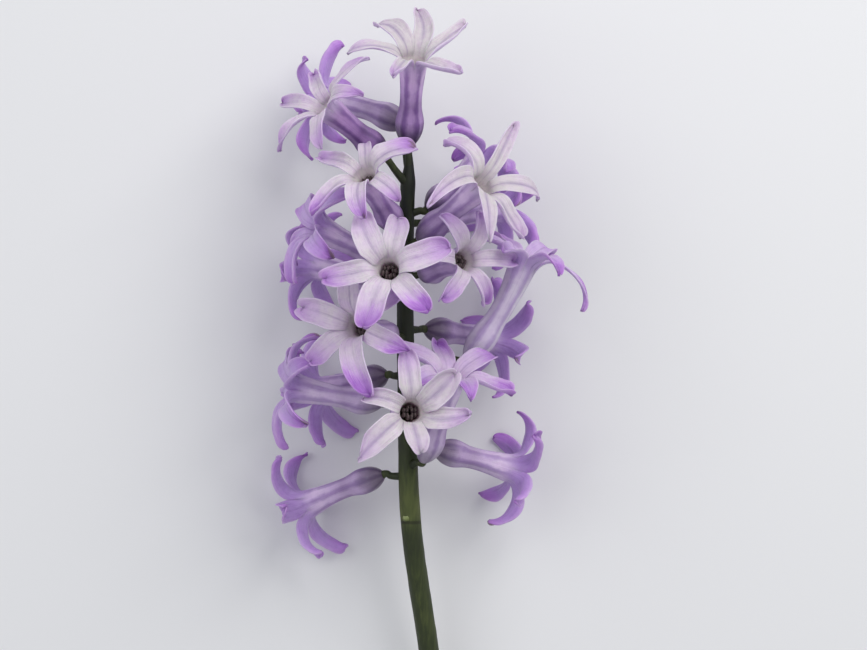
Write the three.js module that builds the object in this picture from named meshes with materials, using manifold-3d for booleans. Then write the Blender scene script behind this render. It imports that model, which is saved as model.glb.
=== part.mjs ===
// One cut hyacinth flower lying on a table: a fleshy green stem, bare below, that carries a loose
// spike of lilac bells. Each bell is a short tube with a swollen base that opens into six
// narrow lobes, and it hangs on the stem by its own little stalk. The stalk ends inside the bell in the
// green ovary and style.
// Millimetres. +Y runs up the stem to the tip of the spike, +X is to the right and +Z is up.
import * as THREE from 'three';
import { mergeVertices } from 'three/addons/utils/BufferGeometryUtils.js';
import Module from 'manifold-3d';

const wasm = await Module();
wasm.setup();

// Stem. Its axis is drawn through a few points, with s measured along +Y from the lowest bell.
const STEM_AXIS = [
  [12.4, -106, 2.4],
  [8.9, -80, 4.9],
  [3.8, -45, 10.8],
  [-0.3, -15, 16.6],
  [-1.2, 12, 21.0],
  [-1.6, 40, 24.2],
  [-1.2, 58, 25.6],
  [-0.6, 72, 27.0],
];
const STEM_RADIUS = { cut: 2.7, bare: 2.45, spike: 2.15, tip: 0.75 };
const STEM_SIDES = 10;
const STEM_RINGS = 14;

// The stub of a bell that fell off, on the bare part of the stem.
const STUB = { at: -15.5, side: 118, rise: 35, radius: 1, stands: 0.9 };

// Little stalks, and the green ovary and style that end them inside each bell.
const STALK_RADIUS = 0.85;
const STALK_SIDES = 5;
const RECEPTACLE_RADIUS = 1.5;
const NECK_RADIUS = 0.8;
const OVARY_RADIUS = 1.75;
const STYLE_RADIUS = 0.55;

// Bells. Tube radii are given along the tube from its base (0) to its mouth (1).
const TUBE_RADII = [
  [0, 1.5],
  [0.06, 2.2],
  [0.2, 2.88],
  [0.44, 2.2],
  [0.78, 2.4],
  [1, 3.0],
];
const MOUTH_SLOPE = 14; // degrees that the tube opens by at its mouth
const LOBES = 6;
const LOBE_LENGTH = 14;
const LOBE_HALF_WIDTH = 3.0;
const LOBE_BROAD = 0.32; // where a lobe has reached its width, and where it begins to narrow again
const LOBE_NARROWS = 0.52;
const LOBE_GAP = 0.35; // kept to the lobes on each side, near the mouth
const INNER_LOBE = 1.06; // every other lobe stands a little inside its neighbours and is broader
const OUTER_LOBE = 0.94;
const LOBE_ROWS = [0.13, 0.28, 0.45, 0.64, 0.83, 1];
const ACROSS = 2; // strips across one lobe
const LINE_STEPS = 40; // steps along one lobe's centre line
const OPEN_FROM = 0.36; // where a lobe has bent out to its full spread
const CURL_POWER = 1.8; // how far the curl gathers towards the tip
const OUTER_SPREAD = 4; // degrees that outer lobes spread more by, and inner lobes less
const TIP_POWER = 2.6; // how bluntly a lobe ends
const TIP_NARROWS = 0.93;
const FREE_FROM = 0.3; // where a lobe has lost the roundness of the tube
const CHANNEL = { mouth: 0.268, lobe: 0.2, varies: 0.12 }; // its depth as a share of the half width
const VARIES = { length: 0.06, spread: 7, curl: 16, sweep: 1.3, twist: 12 };
const WALL = 0.7; // petal thickness
const ANTHER_ROW = 4; // the tube ring whose inner wall is raised into anthers
const ANTHER_RISE = 1.1;
const FLOOR_LIFT = 0.28; // lowest mid-surface height of a petal pressed on the table
const FLOOR_SOFTNESS = 0.9;

// Where the drawing's zero lies in the finished part, whose origin is the middle of its base.
const ORIGIN = [3.61, -0.03, 0];

// The bells, from the lowest to the tip. at: place along the spike. side: which way round the stem the
// little stalk leaves, 0 right, 90 up, 180 left. rise: its slope towards the tip. stalk: its length.
// turn and lean: the same two angles for the bell's mouth. tube: length. roll: turn of the star.
// open: how far the lobes spread. curl: angle of their tips. Angles are in degrees. broad: times the
// breadth of the lobes. tone: how pale it is, as the bells that face up have faded most.
const BELL_VALUES = [
  'at', 'side', 'rise', 'stalk', 'turn', 'lean', 'tube', 'roll', 'open', 'curl', 'broad', 'tone',
];
const BELL_ROWS = [
  [-2, 60, 20, 6, 61, 62, 21, 36, 66, 120, 0.95, 'lilac'],
  [-4, 200, 0, 5, 206, -24, 19, 20, 66, 175, 0.9, 'violet'],
  [3, -12, -5, 5, -20, -16, 18, 12, 72, 160, 0.9, 'violet'],
  [10.5, 98, 0, 5.5, 81, 6, 19, 32, 80, 126, 1.02, 'pale'],
  [13, 165, 5, 5, 171, 11, 18.5, 15, 72, 165, 0.85, 'violet'],
  [25, 6, 0, 13, 22, 67, 24, 30, 58, 130, 0.85, 'lilac'],
  [20, 220, 0, 5, 212, -14, 16.5, 7, 70, 150, 0.9, 'violet'],
  [29, 119, 5, 4.5, 118, 8, 16, 38, 84, 126, 1.03, 'pale'],
  [31, -38, 0, 5, -36, -8, 18, 10, 72, 150, 0.85, 'violet'],
  [38, 97, 14, 6, 98, 14, 20, 12, 82, 124, 1.1, 'pale'],
  [42, 214, 5, 5, 216, 12, 18, 30, 66, 165, 0.85, 'violet'],
  [43, 46, 12, 4.5, 54, 10, 15, 0, 70, 165, 0.82, 'lilac'],
  [47, 160, 8, 4, 158, 26, 16, 16, 70, 165, 0.9, 'lilac'],
  [50, 52, 25, 5, 46, 30, 22, 0, 82, 128, 0.84, 'pale'],
  [56, -28, 5, 5, -42, 12, 19, 0, 68, 160, 0.85, 'violet'],
  [53, 115, 22, 4.5, 115, 36, 19, 28, 80, 126, 0.98, 'lilac'],
  [69, 250, 68, 10.5, 204, 8, 20, 0, 64, 150, 0.95, 'violet'],
  [58, 4, 20, 4, -10, 46, 15, 0, 66, 160, 0.85, 'lilac'],
  [65, 140, 42, 9, 144, 32, 18, -12, 78, 130, 0.8, 'lilac'],
  [69, 90, 80, 5.2, 84, 53, 21, 2, 70, 118, 0.88, 'pale'],
];
const BELLS = BELL_ROWS.map((row) => (
  Object.fromEntries(row.map((value, i) => [BELL_VALUES[i], value]))
));

// Lobes that keep a habit of their own, by bell and lobe: times the length, then more spread, more curl,
// a sideways sweep in millimetres, and times the breadth.
const HABITS = new Map([
  ['4 0', [0.85, -30, -20, 3, 1.05]],
  ['4 1', [0.92, 0, 0, 0, 1]],
  ['4 2', [0.66, 0, 45, 2, 0.72]],
  ['4 3', [1.12, 0, -20, 3.5, 1.1]],
  ['4 4', [0.6, -35, 0, 2, 0.9]],
  ['4 5', [0.82, -25, -40, 4, 1.1]],
  ['6 2', [0.85, 0, 20, 0, 1]],
  ['6 5', [1.5, 22, 60, -1, 0.75]],
  ['8 0', [0.95, 0, 0, -2.5, 1]],
  ['8 2', [1, 0, 0, 2, 1]],
  ['8 3', [0.95, 0, 0, -2, 1]],
  ['8 4', [1.1, 0, 0, 3, 1]],
  ['10 1', [0.82, 0, 45, 2, 1]],
  ['10 2', [0.95, 0, 0, -4, 1.05]],
  ['10 4', [1, 0, 0, -1.5, 1]],
  ['10 5', [0.88, 0, 0, 0, 1]],
  ['12 0', [1, 0, 0, 2, 0.85]],
  ['12 1', [0.9, 0, 0, 0, 0.9]],
  ['12 2', [0.72, 0, 0, 0, 0.85]],
  ['12 3', [0.8, 0, 0, 0, 0.85]],
  ['12 4', [0.7, 0, 0, 0, 0.85]],
  ['12 5', [0.8, 0, 20, 0, 0.85]],
  ['14 0', [1.15, -8, 10, 0, 0.9]],
  ['14 1', [1.36, -24, -30, 1, 0.8]],
  ['14 2', [0.9, -20, 60, 0, 0.9]],
  ['14 3', [1.3, 0, 0, 11, 1.05]],
  ['14 4', [1, 0, 0, 7, 0.9]],
  ['14 5', [1, 0, 0, 3.5, 1]],
  ['16 0', [0.86, 0, 0, 0, 1.12]],
  ['16 1', [0.66, 0, 20, 3, 0.62]],
  ['16 2', [0.85, 0, 10, 2, 0.7]],
  ['16 3', [1, 0, 0, 3, 0.66]],
  ['16 4', [0.78, 0, 0, 2, 0.85]],
  ['16 5', [0.75, 20, 60, 0, 0.8]],
  ['19 0', [0.9, 0, 0, 1, 0.85]],
  ['19 1', [1, 0, 0, -2, 0.7]],
  ['19 2', [0.85, 0, 0, 2, 0.8]],
  ['19 3', [1.15, 0, 0, -4, 0.9]],
  ['19 4', [1, 0, 0, -4, 0.8]],
  ['19 5', [1, 0, 0, 0, 1.15]],
  ['20 0', [0.82, -10, -10, 11, 0.95]],
  ['20 1', [1.1, 0, 0, 6.5, 1.1]],
  ['20 2', [0.95, 0, 0, 1, 1]],
  ['20 3', [1.05, 0, 0, 1.5, 0.95]],
  ['20 4', [0.75, 0, 0, 2, 0.6]],
  ['20 5', [0.8, 0, 0, 4, 1]],
]);
const PLAIN_HABIT = [1, 0, 0, 0, 1];
const habit = (number, lobe) => HABITS.get(`${number + 1} ${lobe}`) ?? PLAIN_HABIT;

const degrees = THREE.MathUtils.degToRad;
const smooth = (x) => THREE.MathUtils.smoothstep(x, 0, 1);
const mix = THREE.MathUtils.lerp;

// A small even variation between -1 and 1, the same each time for one bell, lobe and property.
function vary(bell, lobe, property) {
  const x = bell * 0.6180339 + lobe * 0.7548777 + property * 0.5698403;
  return 2 * (x - Math.floor(x)) - 1;
}

// The direction round the stem by the angle side, sloped towards the tip by rise.
function heading(side, rise) {
  const across = Math.cos(degrees(rise));
  return new THREE.Vector3(
    across * Math.cos(degrees(side)),
    Math.sin(degrees(rise)),
    across * Math.sin(degrees(side)),
  );
}

// Straight-line reading of a table of [place, value] rows.
function read(table, x) {
  const i = Math.max(1, table.findIndex(([place]) => place >= x));
  const [[x0, y0], [x1, y1]] = [table[i - 1], table[i]];
  return mix(y0, y1, (x - x0) / (x1 - x0));
}

// Solids: merged triangles to manifold-3d and back to three.js.
function solid(geometry) {
  const bare = new THREE.BufferGeometry()
    .setAttribute('position', geometry.getAttribute('position'))
    .setIndex(geometry.index);
  const merged = mergeVertices(bare, 1e-4);
  return new wasm.Manifold(
    new wasm.Mesh({
      numProp: 3,
      vertProperties: new Float32Array(merged.attributes.position.array),
      triVerts: new Uint32Array(merged.index.array),
    }),
  );
}

function geometryOf(body) {
  const mesh = body.getMesh();
  const positions = new Float32Array(mesh.numVert * 3);
  for (let i = 0; i < mesh.numVert; i++) {
    positions.set(mesh.vertProperties.subarray(i * mesh.numProp, i * mesh.numProp + 3), i * 3);
  }
  return new THREE.BufferGeometry()
    .setAttribute('position', new THREE.BufferAttribute(positions, 3))
    .setIndex(new THREE.BufferAttribute(mesh.triVerts, 1));
}

// What lies under the table's surface is cut off, which leaves small flat spots where the flower rests.
function restOnTable(body) {
  const size = 600;
  const space = new THREE.BoxGeometry(size, size, size).translate(0, 0, size / 2);
  return body.intersect(solid(space.deleteAttribute('normal').deleteAttribute('uv')));
}

// A closed round rod through points, with a radius at each point.
function rod(points, radii, sides) {
  const vertices = [];
  const faces = [];
  let across = null;
  points.forEach((point, i) => {
    const along = points[Math.min(i + 1, points.length - 1)].clone()
      .sub(points[Math.max(i - 1, 0)]).normalize();
    const level = Math.abs(along.z) < 0.9;
    const start = across ?? new THREE.Vector3(level ? 0 : 1, 0, level ? 1 : 0);
    across = start.clone().addScaledVector(along, -start.dot(along)).normalize();
    const other = along.clone().cross(across);
    for (let k = 0; k < sides; k++) {
      const angle = (2 * Math.PI * k) / sides;
      vertices.push(point.clone()
        .addScaledVector(across, radii[i] * Math.cos(angle))
        .addScaledVector(other, radii[i] * Math.sin(angle)));
    }
  });
  const last = (points.length - 1) * sides;
  for (let i = 0; i < last; i += sides) {
    for (let k = 0; k < sides; k++) {
      const next = (k + 1) % sides;
      faces.push([i + k, i + next, i + sides + next], [i + k, i + sides + next, i + sides + k]);
    }
  }
  for (let k = 1; k < sides - 1; k++) {
    faces.push([0, k + 1, k], [last, last + k, last + k + 1]);
  }
  return surface(vertices, faces);
}

function surface(vertices, faces) {
  const positions = new Float32Array(vertices.flatMap((v) => [v.x, v.y, v.z]));
  return new THREE.BufferGeometry()
    .setAttribute('position', new THREE.BufferAttribute(positions, 3))
    .setIndex(faces.flat());
}

// Stem axis.
const stemCurve = new THREE.CatmullRomCurve3(
  STEM_AXIS.map(([x, y, z]) => new THREE.Vector3(x, y, z)),
);
const stemPoints = stemCurve.getPoints(400);

function stemAt(y) {
  const i = Math.max(1, stemPoints.findIndex((p) => p.y >= y));
  const [a, b] = [stemPoints[i - 1], stemPoints[i]];
  return a.clone().lerp(b, (y - a.y) / (b.y - a.y));
}

function stemRadius(y) {
  return read([
    [-120, STEM_RADIUS.cut],
    [-60, STEM_RADIUS.bare],
    [-10, STEM_RADIUS.bare],
    [20, STEM_RADIUS.spike],
    [66, STEM_RADIUS.spike * 0.8],
    [72, STEM_RADIUS.tip],
  ], y);
}

// Where a bell sits: its base, and the smooth arc of its tube from there to its mouth.
function seat(bell) {
  const outward = heading(bell.side, bell.rise);
  const root = stemAt(bell.at);
  const base = root.clone().addScaledVector(outward, stemRadius(bell.at) + bell.stalk);
  const end = heading(bell.turn, bell.lean);
  const start = end.clone().lerp(outward, 0.3).normalize();
  const bend = start.angleTo(end);
  const hinge = start.clone().cross(end).normalize();
  const inward = hinge.clone().cross(start);
  const upright = new THREE.Quaternion().setFromUnitVectors(new THREE.Vector3(0, 0, 1), start);
  const firstX = new THREE.Vector3(1, 0, 0).applyQuaternion(upright);
  const firstY = new THREE.Vector3(0, 1, 0).applyQuaternion(upright);
  const frameAt = (distance) => {
    const turned = (bend * distance) / bell.tube;
    const centre = base.clone();
    if (bend > 1e-4) {
      centre.addScaledVector(start, (Math.sin(turned) * bell.tube) / bend);
      centre.addScaledVector(inward, ((1 - Math.cos(turned)) * bell.tube) / bend);
    } else {
      centre.addScaledVector(start, distance);
    }
    const turn = (v) => (bend > 1e-4 ? v.clone().applyAxisAngle(hinge, turned) : v.clone());
    return { centre, along: turn(start), x: turn(firstX), y: turn(firstY) };
  };
  return { root, outward, base, start, frameAt };
}

// One lobe's centre line, as distance from the bell's axis and height over its mouth.
function lobeLine(bell, number, lobe, mouth) {
  const [longer, wider, curlier] = habit(number, lobe);
  const length = LOBE_LENGTH * longer * (1 + VARIES.length * vary(number, lobe, 1));
  const outer = lobe % 2 ? OUTER_SPREAD : -OUTER_SPREAD;
  const opening = bell.open + wider + VARIES.spread * vary(number, lobe, 2) + outer;
  const tip = bell.curl + curlier + VARIES.curl * vary(number, lobe, 3);
  const line = [];
  let out = mouth;
  let up = 0;
  for (let i = 0; i <= LINE_STEPS; i++) {
    const u = i / LINE_STEPS;
    const spread = (opening - MOUTH_SLOPE) * smooth(u / OPEN_FROM);
    const angle = degrees(MOUTH_SLOPE + spread + (tip - opening) * u ** CURL_POWER);
    line.push({ u, out, up, angle });
    out += (Math.sin(angle) * length) / LINE_STEPS;
    up += (Math.cos(angle) * length) / LINE_STEPS;
  }
  return (u) => {
    const place = Math.min(u * LINE_STEPS, LINE_STEPS - 1e-6);
    const i = Math.floor(place);
    const share = place - i;
    return {
      out: mix(line[i].out, line[i + 1].out, share),
      up: mix(line[i].up, line[i + 1].up, share),
      angle: mix(line[i].angle, line[i + 1].angle, share),
    };
  };
}

function lobeHalfWidth(u, bell, number, lobe, mouth) {
  const breadth = bell.broad * habit(number, lobe)[4];
  const full = LOBE_HALF_WIDTH * breadth * (lobe % 2 ? OUTER_LOBE : INNER_LOBE);
  const wide = mix(mouth / 2, full, smooth(u / LOBE_BROAD));
  const past = Math.max(0, (u - LOBE_NARROWS) / (1 - LOBE_NARROWS));
  return wide * Math.sqrt(1 - TIP_NARROWS * past ** (TIP_POWER * bell.broad));
}

// The half width that leaves a lobe inside its own sixth of the star, for a channel of that share of it.
function roomAt({ out, angle }, share, u) {
  const spread = Math.tan(Math.PI / LOBES);
  const gap = LOBE_GAP * smooth(u / LOBE_ROWS[0]);
  return (spread * out - gap) / (1 + spread * share * Math.max(0, Math.cos(angle)));
}

// A petal that meets the table lies along it.
function pressed(point) {
  const above = (point.z - FLOOR_LIFT) / FLOOR_SOFTNESS;
  point.z = FLOOR_LIFT + FLOOR_SOFTNESS * (above > 20 ? above : Math.log(1 + Math.exp(above)));
  return point;
}

// The middle surface of one bell: the tube's rings, then six lobes that part from its mouth.
function bellSkin(bell, number) {
  const { frameAt } = seat(bell);
  const columns = LOBES * ACROSS;
  const vertices = [];
  const faces = [];
  const rises = [];
  TUBE_RADII.forEach(([place, radius], ring) => {
    const { centre, x, y } = frameAt(place * bell.tube);
    for (let k = 0; k < columns; k++) {
      const angle = degrees(bell.roll + (360 * k) / columns);
      vertices.push(pressed(centre.clone()
        .addScaledVector(x, radius * Math.cos(angle))
        .addScaledVector(y, radius * Math.sin(angle))));
      rises.push(ring === ANTHER_ROW && k % ACROSS === 0 ? ANTHER_RISE : WALL / 2);
    }
  });
  const quad = (a, b, c, d) => faces.push([a, b, c], [a, c, d]);
  for (let ring = 0; ring < TUBE_RADII.length - 1; ring++) {
    for (let k = 0; k < columns; k++) {
      const here = ring * columns + k;
      const next = ring * columns + ((k + 1) % columns);
      quad(here, next, next + columns, here + columns);
    }
  }
  const rim = (TUBE_RADII.length - 1) * columns;
  const mouth = TUBE_RADII[TUBE_RADII.length - 1][1];
  const { centre, along, x, y } = frameAt(bell.tube);
  for (let lobe = 0; lobe < LOBES; lobe++) {
    const angle = degrees(bell.roll + (360 * lobe) / LOBES);
    const radial = x.clone().multiplyScalar(Math.cos(angle)).addScaledVector(y, Math.sin(angle));
    const sideways = along.clone().cross(radial);
    const line = lobeLine(bell, number, lobe, mouth);
    const sweep = habit(number, lobe)[3] + VARIES.sweep * vary(number, lobe, 4);
    const twist = degrees(VARIES.twist * vary(number, lobe, 5));
    const hollow = CHANNEL.lobe + CHANNEL.varies * vary(number, lobe, 6);
    let below = Array.from({ length: ACROSS + 1 }, (_, c) =>
      rim + ((lobe * ACROSS + c - ACROSS / 2 + columns) % columns));
    for (const u of LOBE_ROWS) {
      const at = line(u);
      const free = smooth(u / FREE_FROM);
      const facing = radial.clone().multiplyScalar(-Math.cos(at.angle))
        .addScaledVector(along, Math.sin(at.angle))
        .lerp(radial.clone().negate(), 1 - free).normalize();
      const side = sideways.clone().multiplyScalar(Math.cos(twist * u))
        .addScaledVector(facing, Math.sin(twist * u));
      const share = mix(CHANNEL.mouth, hollow, free);
      const room = roomAt(at, share, u);
      const half = Math.min(lobeHalfWidth(u, bell, number, lobe, mouth), room);
      const channel = half * share;
      const row = [];
      for (let c = 0; c <= ACROSS; c++) {
        const v = (2 * c) / ACROSS - 1;
        row.push(vertices.length);
        vertices.push(pressed(centre.clone()
          .addScaledVector(radial, at.out)
          .addScaledVector(along, at.up)
          .addScaledVector(sideways, sweep * u * u)
          .addScaledVector(side, half * v)
          .addScaledVector(facing, channel * v * v)));
        rises.push(WALL / 2);
      }
      for (let c = 0; c < ACROSS; c++) {
        quad(below[c], below[c + 1], row[c + 1], row[c]);
      }
      below = row;
    }
  }
  return { vertices, faces, rises };
}

// The skin given its thickness: an outer face, the same face turned round inside, and walls at the edges.
function thicken({ vertices, faces, rises }) {
  const geometry = surface(vertices, faces);
  geometry.computeVertexNormals();
  const normals = geometry.getAttribute('normal');
  const count = vertices.length;
  const shell = [
    ...vertices.map((v, i) => v.clone()
      .addScaledVector(new THREE.Vector3().fromBufferAttribute(normals, i), WALL / 2)),
    ...vertices.map((v, i) => v.clone()
      .addScaledVector(new THREE.Vector3().fromBufferAttribute(normals, i), -rises[i])),
  ];
  const edges = new Map();
  for (const [a, b, c] of faces) {
    for (const [from, to] of [[a, b], [b, c], [c, a]]) {
      const twin = `${to} ${from}`;
      if (edges.has(twin)) edges.delete(twin);
      else edges.set(`${from} ${to}`, [from, to]);
    }
  }
  const walls = [...edges.values()].flatMap(([from, to]) => [
    [to, from, from + count],
    [to, from + count, to + count],
  ]);
  const inside = faces.map(([a, b, c]) => [a + count, c + count, b + count]);
  return surface(shell, [...faces, ...inside, ...walls]);
}

// The little stalk of one bell: out of the stem, wider where it carries the bell, then a thin neck
// through the bell's open base to the ovary and the style inside.
function stalkAndOvary(bell) {
  const { root, outward, base, start, frameAt } = seat(bell);
  const reach = stemRadius(bell.at) + bell.stalk;
  const behind = (distance) => base.clone().addScaledVector(start, -distance);
  const inside = (distance) => frameAt(distance).centre;
  const stalk = new THREE.CatmullRomCurve3([
    root.clone().addScaledVector(outward, 0.3),
    root.clone().addScaledVector(outward, stemRadius(bell.at) + 0.35 * bell.stalk),
    behind(Math.min(2, 0.3 * reach)),
    behind(1),
  ]).getPoints(3);
  const pieces = [
    [stalk[0], STALK_RADIUS * 1.3],
    [stalk[1], STALK_RADIUS],
    [stalk[2], STALK_RADIUS],
    [stalk[3], STALK_RADIUS * 1.1],
    [behind(0.62), RECEPTACLE_RADIUS],
    [behind(0.5), NECK_RADIUS],
    [inside(0.6), NECK_RADIUS],
    [inside(1.8), OVARY_RADIUS * 0.9],
    [inside(4), OVARY_RADIUS],
    [inside(6), STYLE_RADIUS],
    [inside(10), STYLE_RADIUS],
  ];
  return solid(rod(pieces.map(([point]) => point), pieces.map(([, radius]) => radius), STALK_SIDES));
}

// The green parts: stem, the stub of a shed bell, and all the little stalks, grown as one.
function greenParts() {
  const lowest = STEM_AXIS[0][1];
  const highest = STEM_AXIS[STEM_AXIS.length - 1][1];
  const places = Array.from({ length: STEM_RINGS + 1 }, (_, i) => mix(lowest, highest, i / STEM_RINGS));
  let green = solid(rod(places.map(stemAt), places.map(stemRadius), STEM_SIDES));
  const scar = stemAt(STUB.at);
  const shelf = [0.5, 0.85, 1.05].map((share) =>
    scar.clone().addScaledVector(heading(STUB.side, STUB.rise), share * (stemRadius(STUB.at) + STUB.stands)));
  green = green.add(solid(rod(shelf, [STUB.radius, STUB.radius, STUB.radius * 0.6], STALK_SIDES)));
  for (const bell of BELLS) {
    green = green.add(stalkAndOvary(bell));
  }
  return restOnTable(green);
}

// The flower.
const waxy = (color) => new THREE.MeshStandardMaterial({ color, roughness: 0.6, metalness: 0 });
const TONES = { pale: waxy(0xe6dcea), lilac: waxy(0xc3a9dc), violet: waxy(0xa283cc) };
const flower = new THREE.Group();

function addPiece(name, body, material) {
  const mesh = new THREE.Mesh(geometryOf(body), material);
  mesh.name = name;
  flower.add(mesh);
}

addPiece('stem', greenParts(), waxy(0x4a5a2a));
BELLS.forEach((bell, i) => {
  const name = `bell_${String(i + 1).padStart(2, '0')}`;
  addPiece(name, restOnTable(solid(thicken(bellSkin(bell, i)))), TONES[bell.tone]);
});
flower.position.set(-ORIGIN[0], -ORIGIN[1], -ORIGIN[2]);

export default flower;
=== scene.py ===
# %% [markdown]
# A cut hyacinth flower that lies on a table.
# The real flower has a fleshy green stem, bare below, and a loose spike of about twenty bells. Each bell
# is a tube with a swollen base that opens into six lobes, and it hangs on its own little stalk.
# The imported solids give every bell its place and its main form, and they stay underneath for the physics.
# They could be smoothed and shown, but their petals have few faces and blunt edges. So each bell gets a
# finer skin from the same rule, and the green parts grow along curves.

import math

import bpy
import numpy as np
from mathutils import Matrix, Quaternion, Vector


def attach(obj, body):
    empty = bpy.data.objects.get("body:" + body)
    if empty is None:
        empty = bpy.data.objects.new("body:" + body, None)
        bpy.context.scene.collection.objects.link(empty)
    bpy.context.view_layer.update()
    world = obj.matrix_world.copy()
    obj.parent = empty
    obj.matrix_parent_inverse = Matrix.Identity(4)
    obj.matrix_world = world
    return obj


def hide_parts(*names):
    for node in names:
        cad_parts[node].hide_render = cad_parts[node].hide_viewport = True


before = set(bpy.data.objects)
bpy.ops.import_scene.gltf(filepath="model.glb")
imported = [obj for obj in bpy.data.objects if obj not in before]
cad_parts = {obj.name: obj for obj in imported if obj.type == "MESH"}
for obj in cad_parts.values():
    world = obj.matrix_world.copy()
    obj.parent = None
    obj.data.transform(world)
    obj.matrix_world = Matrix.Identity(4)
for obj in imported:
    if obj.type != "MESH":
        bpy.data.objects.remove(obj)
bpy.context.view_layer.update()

# %% [markdown]
# The camera looks straight down, as in the photograph. A wide lens close by would blow up the bells on
# top, so a long lens looks from three quarters of a metre and keeps the proportions calm. The view is
# framed on the spike, so the cut end lies outside it.

# %% Camera straight above the spike
MM = 0.001
LENS = 130.8
CAMERA_HEIGHT = 0.77
VIEW_CENTRE = (1.49 * MM, 32.13 * MM)

camera = bpy.data.objects.new("camera", bpy.data.cameras.new("camera"))
camera.data.lens = LENS
camera.location = (*VIEW_CENTRE, CAMERA_HEIGHT)
bpy.context.scene.collection.objects.link(camera)
bpy.context.scene.camera = camera
print("camera", round(CAMERA_HEIGHT * 1000), "mm above the table")

# %% [markdown]
# A small lamp would throw hard shadows between the bells, so the studio light is soft. A softbox from the
# upper right makes the gentle shade on each lobe, a wider one from the left fills it, and a pale sky
# fills the rest.

# %% Lights and sky
FLOWER_MIDDLE = Vector((0, 0.03, 0.02))


def softbox(name, place, size, power, colour):
    """A square lamp that faces the flower."""
    lamp = bpy.data.objects.new(name, bpy.data.lights.new(name, "AREA"))
    lamp.data.size = size
    lamp.data.energy = power
    lamp.data.color = colour
    lamp.location = place
    lamp.rotation_euler = (FLOWER_MIDDLE - Vector(place)).to_track_quat("-Z", "Y").to_euler()
    bpy.context.scene.collection.objects.link(lamp)


def set_constants(node, values):
    """Sets inputs that stay the same all over, on the node's own sockets."""
    for name, value in values.items():
        node.inputs[name].default_value = value


softbox("key_light", (0.35, 0.45, 0.55), 0.5, 3.4, (1.0, 0.985, 0.97))
softbox("fill_light", (-0.7, 0.3, 0.9), 0.9, 3.5, (0.97, 0.98, 1.0))
sky = bpy.data.worlds.new("soft_sky")
sky.use_nodes = True
set_constants(sky.node_tree.nodes["Background"], {"Color": (0.93, 0.95, 1.0, 1), "Strength": 0.47})
bpy.context.scene.world = sky
bpy.context.scene.view_settings.view_transform = "Standard"

# %% [markdown]
# The table is one plain pale square, wide enough to fill the view from every side. A modelled table top
# would only draw the eye away from the flower.


# %% The pale table
def new_material(name):
    """A new material, its node tree and its shader."""
    material = bpy.data.materials.new(name)
    material.use_nodes = True
    return material, material.node_tree, material.node_tree.nodes["Principled BSDF"]


TABLE_HALF = 1.5
table_white, _, table_shader = new_material("table_white")
set_constants(table_shader, {"Base Color": (0.8, 0.804, 0.813, 1), "Roughness": 0.75})
table_mesh = bpy.data.meshes.new("table")
table_mesh.from_pydata(
    [(x * TABLE_HALF, y * TABLE_HALF, 0) for x, y in ((-1, -1), (1, -1), (1, 1), (-1, 1))],
    [],
    [(0, 1, 2, 3)],
)
table = bpy.data.objects.new("table", table_mesh)
table_mesh.materials.append(table_white)
bpy.context.scene.collection.objects.link(table)
print("table", 2 * TABLE_HALF, "m wide")

# %% [markdown]
# The bells stand where the solids have them, so this table repeats the one of the solids, in millimetres
# and degrees. A rule could scatter them, but the bells that face up each have their own turn and age.
# at, stalk and tube: the place along the spike, and the lengths of the little stalk and of the tube.
# side and rise: the way the stalk leaves the stem. turn and lean: the way the mouth faces. roll: how far
# the bell is turned about its own line. open and curl: the angles of the lobes near the mouth and at
# their tips. broad: times the breadth of the lobes.
# fade: how pale the lobes have become, from 0 for a fresh bell to 1 and more for an old one. deep: how
# dark a purple the tube is, from 0 for a pale one to 1. Above 1 the whole tube is darker still.
# ORIGIN is where the middle of the flower's base lies on the drawing that these numbers belong to.

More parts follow.
